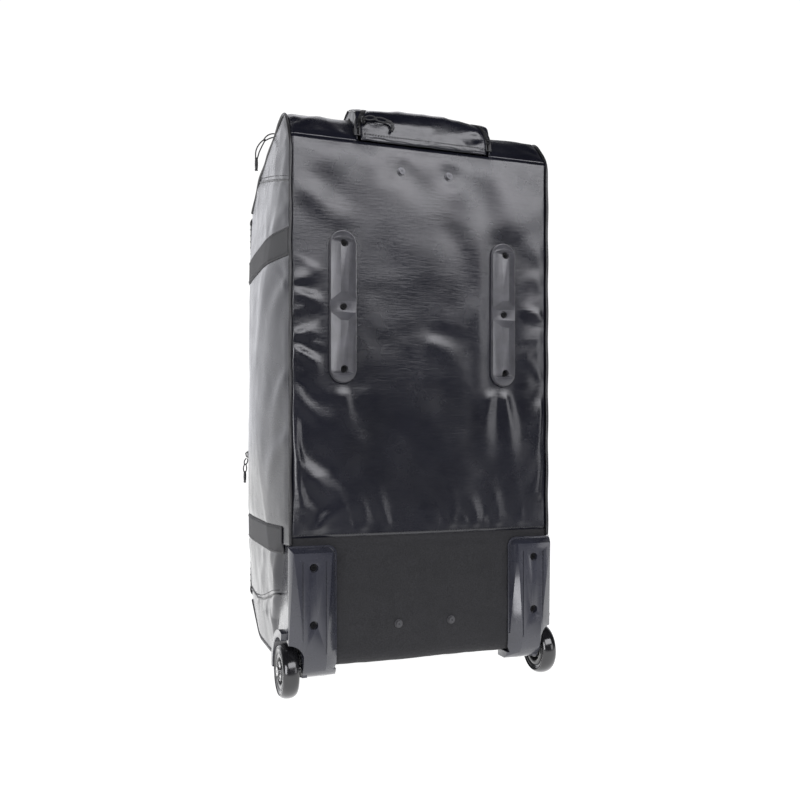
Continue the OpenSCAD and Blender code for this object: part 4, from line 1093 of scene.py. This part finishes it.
def hood_fabric():
    outer = resample(np.vstack([round_corners(FLAP_LINE, 14 * MM, 8), round_corners(HOOD_LINE, 12 * MM, 6)]),
                     72)
    inner = resample(np.array([(0.4 * MM, HEAD_SEAM + 2 * MM), (RIDGE[0], RIDGE[1] + 0.6 * MM), HOOD_FOOT]),
                     72)
    t = np.linspace(0, 1, 15)
    parts = []
    for sign in (-1, 1):
        d = outer[:, :1] * (1 - t) + inner[:, :1] * t
        z = outer[:, 1:] * (1 - t) + inner[:, 1:] * t
        pts = np.stack([d.ravel() + sign, d.ravel(), z.ravel()], axis=-1)
        h = 1.4 * rough(pts, (3, 0.03, 0.025), 101 + sign).reshape(d.shape) + 0.8
        h = h * np.sin(math.pi * t)[None, :] ** 0.6 * ease(np.minimum(np.arange(72),
                                                                      71 - np.arange(72)) / 6)[:, None]
        x = sign * (POCKET_X + 3.2 * MM + np.clip(h, -0.5, 3) * MM)
        parts.append(sheet_object("fabric_hood_" + ("right" if sign > 0 else "left"), at(x, d, z),
                                  "tarpaulin", "bag",
                                  inward=(-sign, 0, 0)))
    skin = resample(round_corners(FLAP_LINE, 14 * MM, 8), 60)
    skin = skin[skin[:, 1] > CORNER_Z - 2 * MM]
    away = outward(skin)
    for sign in (-1, 1):
        x0, x1 = flap_half(skin[:, 1])[:, None] + 3.4 * MM, POCKET_X + 3.4 * MM
        t = np.linspace(0, 1, 12)[None, :]
        xx = x0 + (x1 - x0) * t
        puff = (2.0 * MM + 1.0 * MM * np.sin(math.pi * t))
        grid = at(sign * xx, skin[:, :1] + away[:, :1] * puff,
                  skin[:, 1:] + away[:, 1:] * puff + crown(xx, skin[:, :1], skin[:, 1:]))
        sheet_object("fabric_hood_corner_" + ("right" if sign > 0 else "left"), grid, "tarpaulin", "bag",
                     inward=(0, 1, -1))
    path = resample(round_corners(HOOD_LINE, 14 * MM, 8), 26)
    n = outward(path)
    x = np.linspace(-POCKET_X - 3.4 * MM, POCKET_X + 3.4 * MM, 70)
    xx, dd = np.meshgrid(x, path[:, 0])
    zz = np.repeat(path[:, 1:], len(x), 1)
    pts = np.stack([xx.ravel(), dd.ravel(), zz.ravel()], axis=-1)
    s = np.linspace(0, 1, len(path))[:, None]
    h = 1.5 * rough(pts, (0.06, 0.03, 0.03), 111).reshape(xx.shape) + 1.8 * np.sin(math.pi * s) + 0.4
    h += border_creases(xx / MM, s * 56 + 0 * xx, ((-105, 0), (105, 56)), 18, 112, reach=(18, 40),
                        tall=(0.5, 1.4))
    edge = ease(np.minimum(POCKET_X + 3.4 * MM - np.abs(xx), np.minimum(s, 1 - s) * 56 * MM) / (9 * MM))
    h = np.clip(h * edge, -0.6, 5) * MM
    front = sheet_object("fabric_hood_front",
                         at(xx, dd + n[:, :1] * h, zz + n[:, 1:] * h + crown(xx, dd, zz)),
                         "tarpaulin", "bag", inward=(0, -0.6, -0.6))
    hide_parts("pocket_hood")
    welts = []
    for sign in (-1, 1):
        welts.append(at(sign * (POCKET_X + 3.6 * MM), path[:, 0], path[:, 1] + 0.4 * MM))
        welts.append(at(sign * (POCKET_X + 3.6 * MM), inner[8:, 0], inner[8:, 1] + 0.8 * MM))
    xs = np.linspace(-POCKET_X - 3 * MM, POCKET_X + 3 * MM, 60)
    welts.append(at(xs, HOOD_FOOT[0] - 0.4 * MM, HOOD_FOOT[1] + 0.7 * MM))
    tube_object("welts_hood", welts, 1.4 * MM, "piping", "bag")


# ---- zip sliders, cords and grips --------------------------------------------------

def basis(along, normal):
    t = np.array(along, float)
    t /= np.linalg.norm(t)
    n = np.array(normal, float)
    n -= t * (n @ t)
    n /= np.linalg.norm(n)
    return t, np.cross(n, t), n


def slider_object(name, centre, along, normal, body, length=14 * MM, node=None):
    """A zip slider: a pinched body with two cheeks and an arched bridge over it."""
    t, s, n = basis(along, normal)
    c = np.asarray(centre, float)
    k = length / (14 * MM)
    outline = [(-7, 2.2), (-5.6, 3.6), (-1, 4.2), (3.6, 4.5), (6.4, 3.4), (7, 1.6)]
    outline = [(a * k, b * k) for a, b in outline] + [(a * k, -b * k) for a, b in outline[::-1]]
    verts, faces = [], []
    rings = [(-1.3, 0.86), (-1.1, 1.0), (0.9, 1.0), (1.5, 0.86), (1.9, 0.6)]
    for height, grow in rings:
        verts += [c + t * a * grow * MM + s * b * grow * MM + n * height * k * MM for a, b in outline]
    m = len(outline)
    faces += grid_faces(len(rings), m, closed=True)
    faces += [tuple(range(m))[::-1], tuple(range((len(rings) - 1) * m, len(rings) * m))]
    arch = [c + t * a * k * MM + n * b * k * MM for a, b in
            ((-4.4, 1.4), (-4.2, 2.8), (-2.6, 4.1), (0, 4.6), (2.6, 4.1), (4.2, 2.8), (4.4, 1.4))]
    v, f = tube_mesh(resample(arch, 20), 0.95 * k * MM, 8)
    faces += [tuple(i + len(verts) for i in q) for q in f]
    verts += list(v)
    ring = [c + n * 4.4 * k * MM + (s * math.cos(a) * 2.7 + t * math.sin(a) * 2.7) * k * MM
            + n * math.sin(a) * 0.8 * k * MM
            for a in np.linspace(0, 2 * math.pi, 22, endpoint=False)]
    v, f = tube_mesh(ring, 0.7 * k * MM, 8, closed=True)
    faces += [tuple(i + len(verts) for i in q) for q in f]
    verts += list(v)
    obj = mesh_object(name, verts, faces, "slider", body)
    tidy_mesh(obj, None)
    bevel = obj.modifiers.new("edges", "BEVEL")
    bevel.width = 0.25 * MM
    bevel.segments = 2
    bevel.angle_limit = math.radians(40)
    if node:
        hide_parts(node)
    return obj


def knot_mesh(centre, size):
    """A small overhand knot: a trefoil of cord."""
    a = np.linspace(0, 2 * math.pi, 40, endpoint=False)
    ring = np.stack([np.sin(a) + 2 * np.sin(2 * a), np.cos(a) - 2 * np.cos(2 * a), -np.sin(3 * a)], axis=-1)
    return tube_mesh(np.asarray(centre) + ring * size / 3, size * 0.42, 8, closed=True)


def pull_cord(name, route, body, node, length, tail=0.0, strand=1.0 * MM, gap=1.9 * MM):
    """A doubled cord that opens into loops between its knots, and ends in or runs on through its grip.

    route is a list of given points, and tail is how far the cord runs down inside the grip.
    """
    path = spline(route, 90)
    inside_grip = tail / length
    if tail:
        path = resample(np.vstack([path, path[-1] - [0, 0, tail]]), 90)
    knots = (0.45 * (1 - inside_grip), 1 - inside_grip) + ((1.0,) if tail else ())
    t = np.gradient(path, axis=0)
    t /= np.linalg.norm(t, axis=1)[:, None]
    up = np.cross(t, [0, 1.0, 0.15])
    up /= np.linalg.norm(up, axis=1)[:, None] + 1e-12
    s = np.linspace(0, 1, 90)
    stops = [0.0] + list(knots)
    open_up = np.full(90, 0.0)
    for a, b in zip(stops, stops[1:3]):
        inside = (s >= a) & (s <= b)
        open_up[inside] = np.sin(math.pi * (s[inside] - a) / (b - a)) ** 0.7
    verts, faces = [], []
    for sign in (-1, 1):
        v, f = tube_mesh(path + up * sign * (0.9 * MM + gap * open_up)[:, None], strand, 12)
        faces += [tuple(i + len(verts) for i in q) for q in f]
        verts += list(v)
    for stop in knots:
        v, f = knot_mesh(path[int(stop * 89)], 1.9 * MM)
        faces += [tuple(i + len(verts) for i in q) for q in f]
        verts += list(v)
    cord = mesh_object(name, verts, faces, "cord", body)
    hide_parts(node)


def grip_object(name, top, body, node, length=16 * MM, radius=2.6 * MM):
    """A moulded toggle with a waist and ribs."""
    heights = np.linspace(0, 1, 42)
    r = radius * (0.62 + 0.38 * np.sin(math.pi * np.clip(heights * 1.04, 0, 1)) ** 0.35)
    r = r - 0.28 * MM * (np.cos(heights * 34) > 0.2) * (heights > 0.18) * (heights < 0.82)
    r[0] = r[-1] = radius * 0.35
    path = np.array([np.asarray(top, float) - [0, 0, length * h] for h in heights])
    grip = tube_object(name, [path], r, "grip", body, sides=20)
    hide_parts(node)
    return grip


def pulls():
    low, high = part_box("main_zip_slider")
    slider_object("slider_main",
                  ((low[0] + high[0]) / 2 + 1.6 * MM, (low[1] + high[1]) / 2, (low[2] + high[2]) / 2),
                  (0, 0, 1), (-1, 0, 0), "bag" if "main_zip_slider" in BODY_OF["bag"] else "lid",
                  node="main_zip_slider")
    body = next(b for b, nodes in BODY_OF.items() if "main_pull_cord" in nodes)
    grip = grip_object("grip_main", at(-216.5 * MM, 323 * MM, 313.9 * MM), body, "main_pull_grip")
    route = [(-213, 322, 338), (-215, 322, 332), (-216, 323, 326), (-216.5, 323, 314)]
    pull_cord("cord_main", at(*np.array(route).T * MM), body, "main_pull_cord", 42 * MM,
              tail=IN_TOGGLE)
    low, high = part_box("end_zip_slider")
    slider_object("slider_end", ((low[0] + high[0]) / 2, (low[1] + high[1]) / 2, low[2] + 2.4 * MM),
                  (1, 0, 0), (0, 0.187, 0.982), "bag", node="end_zip_slider")
    body = next(b for b, nodes in BODY_OF.items() if "end_pull_cord" in nodes)
    route = [(-194, 131, 845), (-202, 131, 847), (-212, 132, 843), (-221, 133, 833), (-227, 134, 821),
             (-229, 135, 809)]
    grip = grip_object("grip_end", at(-229 * MM, 135 * MM, 808.5 * MM), body, "end_pull_grip")
    pull_cord("cord_end", at(*np.array(route).T * MM), body, "end_pull_cord", 76 * MM,
              tail=IN_TOGGLE)
    low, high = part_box("flap_zip_slider")
    slider_object("slider_flap", ((low[0] + high[0]) / 2, high[1] - 1.6 * MM, (low[2] + high[2]) / 2),
                  (0, 0, 1), (0, -1, 0), "flap", length=12 * MM, node="flap_zip_slider")
    route = [(-96, -7.4, 838.2), (-91, -7.0, 839.6), (-83, -6.8, 840.4), (-74, -6.8, 839.5),
             (-67, -6.6, 838.8), (-61, -6.4, 838.4)]
    line = at(*np.array(route).T * MM)
    bend = [(-63.5, -6.0, 838.3), (-60, -6.0, 838.6), (-56, -6.0, 837), (-53.4, -6.0, 833.4),
            (-53.2, -6.0, 829), (-55.5, -6.0, 825)]
    path = spline(at(*np.array(bend).T * MM), 40)
    r = 2.5 * MM - 0.25 * MM * (np.cos(np.linspace(0, 1, 40) * 30) > 0.3)
    sleeve = tube_object("grip_flap", [path], r, "grip", "flap", sides=16)
    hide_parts("flap_pull_grip")
    pull_cord("cord_flap", line, "flap", "flap_pull_cord", 36 * MM)


BODY_OF = frame["record"]["behaviour"]["bodies"]


# ---- handles, zip at the head, mouldings and wheels --------------------------------

def webbing_handle(name, node, centre, tilt, half, rise):
    c, s = math.cos(tilt), math.sin(tilt)
    line = round_corners([(-half, 1), (-half + 24, 1), (-half + 44, rise), (half - 44, rise), (half - 24, 1),
                          (half, 1)], 18, 9)
    line = resample(line, 120)
    n = outward(line)
    around = [(-15, 0), (-14.6, 1.4), (-13, 2.2), (0, 2.6), (13, 2.2), (14.6, 1.4), (15, 0), (14.6, -0.9),
              (13, -1), (0, -1), (-13, -1), (-14.6, -0.9)]
    verts = []
    for i, (a, b) in enumerate(line):
        grip = ease((b - rise * 0.6) / (rise * 0.35))
        for w, h in around:
            w = w * (1 - 0.16 * grip)
            h = h + grip * 1.4 * (1 - (w / 15) ** 2) + 1.0
            a2, b2 = a + n[i, 0] * h, b + n[i, 1] * h
            verts.append((a2 * MM, (centre[0] + w * c - b2 * s) * MM, (centre[1] + w * s + b2 * c) * MM))
    verts = np.array(verts)
    verts[:, 1] += BACK_Y
    cols = len(around)
    faces = grid_faces(len(line), cols, closed=True)
    faces += [tuple(range(cols))[::-1], tuple(range((len(line) - 1) * cols, len(line) * cols))]
    strap = mesh_object(name, verts, faces, "webbing", "bag")
    tidy_mesh(strap, None)
    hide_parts(node)
    runs = []
    up = np.array([0, -s, c])
    for sign in (-1, 1):
        square = [(-half + 3, -12), (-half + 3, 12), (-half + 20, 12), (-half + 20, -12), (-half + 3, -12),
                  (-half + 20, 12)]
        square = [(sign * a, w) for a, w in square]
        pts = np.array([(a * MM, BACK_Y + (centre[0] + w * c - 4.4 * s) * MM,
                         (centre[1] + w * s + 4.4 * c) * MM) for a, w in square])
        pts = resample(pts, 60)
        runs.append((pts, np.tile(up, (60, 1))))
    stitch_object("stitches_" + name, runs, "bag", pitch=3 * MM, lift=0.1 * MM)


def head_zip():
    low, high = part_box("end_zip")
    tilt = HEAD_TILT
    x = np.linspace(low[0] + 1 * MM, high[0] - 1 * MM, 160)
    mid_d, mid_z = (low[1] + high[1]) / 2 - BACK_Y, (low[2] + high[2]) / 2
    normal = np.array([0, math.sin(tilt), math.cos(tilt)])
    run = at(x, mid_d, mid_z + 3.0 * MM + 0.3 * MM * np.sin(x / (30 * MM)))
    out = np.tile(normal, (len(x), 1))
    a_half = zip_object("zip_end_rear", run, out, 1, "bag", tape=10 * MM)
    zip_object("zip_end_front", run, out, -1, "bag", tape=10 * MM)
    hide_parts("end_zip")
    runs = []
    for off in (-8.2, 8.2):
        line = run + np.array([0, math.cos(tilt), -math.sin(tilt)]) * off * MM
        runs.append((line - out * 0.4 * MM, out))
    stitch_object("stitches_end_zip", runs, "bag", pitch=4 * MM)


def softened(name, node, slot, body, width, angle=24, keep=3.0, segments=3):
    """A copy of a moulded part with its sharp edges rounded off, as they leave the tool."""
    mesh = frame["nodes"][node].data.copy()
    mesh.name = name
    obj = bpy.data.objects.new(name, mesh)
    bpy.context.scene.collection.objects.link(obj)
    bm = bmesh.new()
    bm.from_mesh(mesh)
    bmesh.ops.remove_doubles(bm, verts=bm.verts, dist=0.01 * MM)
    bmesh.ops.dissolve_limit(bm, angle_limit=math.radians(keep), verts=bm.verts, edges=bm.edges)
    bm.to_mesh(mesh)
    bm.free()
    mesh.materials.clear()
    mesh.materials.append(MATERIALS[slot])
    for poly in mesh.polygons:
        poly.use_smooth = True
        poly.material_index = 0
    bevel = obj.modifiers.new("edges", "BEVEL")
    bevel.width = width
    bevel.segments = segments
    bevel.limit_method = "ANGLE"
    bevel.angle_limit = math.radians(angle)
    bevel.use_clamp_overlap = True
    bevel.harden_normals = True
    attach(obj, body)
    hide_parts(node)
    return obj


def lathe(name, profile, centre, slot, body, steps=96, ribs=None):
    """A solid of revolution about X. profile is (radius, X) round a closed outline."""
    verts = []
    for k in range(steps):
        a = 2 * math.pi * k / steps
        for i, (r, x) in enumerate(profile):
            grow = ribs(a, i) if ribs else 0
            verts.append((centre[0] + x, centre[1] + (r + grow) * math.cos(a),
                          centre[2] + (r + grow) * math.sin(a)))
    m = len(profile)
    faces = grid_faces(steps, m, closed=True)
    faces += [((steps - 1) * m + k, (steps - 1) * m + (k + 1) % m, (k + 1) % m, k) for k in range(m)]
    obj = mesh_object(name, verts, faces, slot, body)
    tidy_mesh(obj, None)
    return obj


def wheels():
    for word in ("left", "right"):
        low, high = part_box("tyre_" + word)
        centre = [(a + b) / 2 for a, b in zip(low, high)]
        radius, half = (high[2] - low[2]) / 2, (high[0] - low[0]) / 2
        body = "wheel_" + word
        outline = [(26, -9.6), (30, -10.6), (34, -11.6)]
        outline += [(radius / MM - 6.5 + 6.5 * math.cos(a),
                     half / MM * math.sin(a)) for a in np.linspace(-1.4, 1.4, 27)]
        outline += [(34, 11.6), (30, 10.6), (26, 9.6)]
        tyre = lathe("tread_" + word, [(r * MM, x * MM) for r, x in outline], centre, "tyre", body, 120)
        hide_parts("tyre_" + word)
        rim = [(19.2, -9.2), (20, -10), (25.2, -10.2), (26, -9.4), (26, 9.4), (25.2, 10.2), (20, 10),
               (19.2, 9.2), (19.2, 3.4), (19.2, -3.4)]
        boss = [(11.05, -9.8), (11.6, -10.4), (13.4, -10.4), (14.2, -9.6), (14.2, 9.6), (13.4, 10.4),
                (11.6, 10.4), (11.05, 9.8)]
        ring = lathe("hub_rim_" + word, [(r * MM, x * MM) for r, x in rim], centre, "hub", body, 96)
        lathe("hub_boss_" + word, [(r * MM, x * MM) for r, x in boss], centre, "hub", body, 72)
        verts, faces = [], []
        for k in range(5):
            a0 = 2 * math.pi * k / 5 + 0.3
            for r, w, x in ((13.6, 3.6, 6.5), (16.5, 2.3, 5.5), (19.8, 3.6, 7.5)):
                for wa, xa in ((-w, -x), (w, -x), (w, x), (-w, x)):
                    ca, sa = math.cos(a0), math.sin(a0)
                    verts.append((centre[0] + xa * MM, centre[1] + (r * ca - wa * sa) * MM,
                                  centre[2] + (r * sa + wa * ca) * MM))
            base = k * 12
            for j in (0, 1):
                for q in range(4):
                    faces.append((base + j * 4 + q, base + j * 4 + (q + 1) % 4,
                                  base + j * 4 + 4 + (q + 1) % 4, base + j * 4 + 4 + q))
            faces += [(base + 3, base + 2, base + 1, base), (base + 8, base + 9, base + 10, base + 11)]
        spokes = mesh_object("hub_spokes_" + word, verts, faces, "hub", body)
        bevel = spokes.modifiers.new("edges", "BEVEL")
        bevel.width = 0.8 * MM
        bevel.segments = 2
        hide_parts("hub_" + word)


def mouldings():
    for word in ("left", "right"):
        softened("housing_" + word, "wheel_housing_" + word, "moulding", "bag", 0.9 * MM)
        softened("skid_" + word, "rail_" + word, "rail", "bag", 0.8 * MM)
    softened("feet", "front_feet", "moulding", "bag", 0.9 * MM)
    softened("pads", "foot_pads", "grip", "bag", 0.7 * MM)


def finish_cad_materials():
    """Each moulded or metal node that stays gets its material by slot."""
    for row in frame["record"]["materials"]:
        for node in frame["nodes"].values():
            for i, slot_now in enumerate(node.material_slots):
                name = slot_now.material.name.split(".")[0] if slot_now.material else ""
                if name == row["slot"]:
                    node.material_slots[i].material = MATERIALS[row["slot"]]
    for slot_now in frame["nodes"]["trolley_screws"].material_slots:
        slot_now.material = MATERIALS["washer"]


# ---- light, floor and camera -------------------------------------------------------

def area(name, place, target, size, power, colour=(0.965, 0.96, 1.0)):
    data = bpy.data.lights.new(name, "AREA")
    data.shape = "RECTANGLE"
    data.size, data.size_y = size
    data.energy = power
    data.color = colour
    obj = bpy.data.objects.new(name, data)
    bpy.context.scene.collection.objects.link(obj)
    obj.location = place
    obj.rotation_euler = (Vector(target) - Vector(place)).to_track_quat("-Z", "Y").to_euler()
    return obj


def ramp(nodes, source, ends, levels, links):
    """A soft step: levels are its values where source is at each of the ends."""
    step = nodes.new("ShaderNodeMapRange")
    step.interpolation_type = "SMOOTHSTEP"
    for key, value in zip(("From Min", "From Max", "To Min", "To Max"), ends + levels):
        step.inputs[key].default_value = value
    links.new(source, step.inputs["Value"])
    return step.outputs[0]


def studio():
    world = bpy.data.worlds.new("studio")
    bpy.context.scene.world = world
    world.use_nodes = True
    tree = world.node_tree
    back = tree.nodes["Background"]
    back.inputs["Color"].default_value = (0.95, 0.955, 1.0, 1)
    where = tree.nodes.new("ShaderNodeTexCoord")
    split = tree.nodes.new("ShaderNodeSeparateXYZ")
    tree.links.new(where.outputs["Generated"], split.inputs[0])
    lid_side = ramp(tree.nodes, split.outputs["Y"], (0.0, 0.6), (0.02, 1.35), tree.links)
    horizon = ramp(tree.nodes, split.outputs["Z"], (0.3, 0.62), (1.0, 0.13), tree.links)
    both = tree.nodes.new("ShaderNodeMath")
    both.operation = "MULTIPLY"
    tree.links.new(lid_side, both.inputs[0])
    tree.links.new(horizon, both.inputs[1])
    tree.links.new(both.outputs[0], back.inputs["Strength"])
    seen = tree.nodes.new("ShaderNodeBackground")
    seen.inputs["Color"].default_value = (1, 1, 1, 1)
    seen.inputs["Strength"].default_value = 1.05
    mix = tree.nodes.new("ShaderNodeMixShader")
    path = tree.nodes.new("ShaderNodeLightPath")
    tree.links.new(path.outputs["Is Camera Ray"], mix.inputs[0])
    tree.links.new(back.outputs[0], mix.inputs[1])
    tree.links.new(seen.outputs[0], mix.inputs[2])
    tree.links.new(mix.outputs[0], tree.nodes["World Output"].inputs["Surface"])

    bm = bmesh.new()
    bmesh.ops.create_grid(bm, x_segments=2, y_segments=2, size=14)
    mesh = bpy.data.meshes.new("floor")
    bm.to_mesh(mesh)
    bm.free()
    floor = bpy.data.objects.new("floor", mesh)
    bpy.context.scene.collection.objects.link(floor)
    paint = bpy.data.materials.new("floor_paint")
    paint.use_nodes = True
    nodes, links = paint.node_tree.nodes, paint.node_tree.links
    matt = nodes["Principled BSDF"]
    matt.inputs["Base Color"].default_value = (0.30, 0.30, 0.30, 1)
    matt.inputs["Roughness"].default_value = 0.9
    glow = nodes.new("ShaderNodeEmission")
    glow.inputs["Strength"].default_value = 0.985
    both = nodes.new("ShaderNodeAddShader")
    where = nodes.new("ShaderNodeTexCoord")
    split = nodes.new("ShaderNodeSeparateXYZ")
    behind = nodes.new("ShaderNodeEmission")
    beyond = nodes.new("ShaderNodeAddShader")
    links.new(where.outputs["Object"], split.inputs[0])
    links.new(ramp(nodes, split.outputs["Y"], (-0.8, -0.34), (0.0, 1.35), links), behind.inputs["Strength"])
    pick = nodes.new("ShaderNodeMixShader")
    ray = nodes.new("ShaderNodeLightPath")
    links.new(matt.outputs[0], both.inputs[0])
    links.new(glow.outputs[0], both.inputs[1])
    links.new(ray.outputs["Is Camera Ray"], pick.inputs[0])
    links.new(matt.outputs[0], beyond.inputs[0])
    links.new(behind.outputs[0], beyond.inputs[1])
    links.new(beyond.outputs[0], pick.inputs[1])
    links.new(both.outputs[0], pick.inputs[2])
    links.new(pick.outputs[0], nodes["Material Output"].inputs["Surface"])
    mesh.materials.append(paint)

    area("high_front", (1.0, -3.2, 2.3), (0.5, -0.2, 0.9), (4.4, 1.5), 126)
    area("left_front", (-2.4, -2.5, 0.8), (0, -0.2, 0.5), (1.5, 2.0), 75)
    area("right_front", (2.75, -3.0, 0.62), (0, -0.2, 0.4), (1.5, 1.2), 14)
    area("overhead", (0, 1.3, 2.5), (0, 0.2, 0.5), (2.0, 1.4), 10)


def camera():
    data = bpy.data.cameras.new("view")
    data.lens = 38.25
    data.sensor_width = 36
    data.shift_y = 0.04625
    data.clip_start = 0.05
    obj = bpy.data.objects.new("view", data)
    bpy.context.scene.collection.objects.link(obj)
    obj.location = (-0.4599, -1.3593, 0.376)
    look = Vector((0.33384, 0.94263, 0))
    obj.rotation_euler = look.to_track_quat("-Z", "Y").to_euler()
    bpy.context.scene.camera = obj
    bpy.context.scene.view_settings.view_transform = "Standard"


# ---- everything, in order ----------------------------------------------------------

camera()
studio()
make_materials()
finish_cad_materials()
back_fabric()
base_fabric()
head_fabric()
for sign in (-1, 1):
    side_fabric(sign)
    side_seams(sign)
    side_webbing(sign)
    pipings(sign)
rim_binding()
main_zip()
lid_fabric()
lid_pocket()
flap_fabric()
flap_zips()
hood_fabric()
head_zip()
pulls()
webbing_handle("handle_top", "top_handle", (190, RIDGE[1] / MM - 150 * math.tan(HEAD_TILT) + 0.4), -HEAD_TILT,
               95, 24)
webbing_handle("handle_base", "base_handle", (276, 67.9), math.pi + math.atan2(49, 77), 80, 20)
mouldings()
wheels()
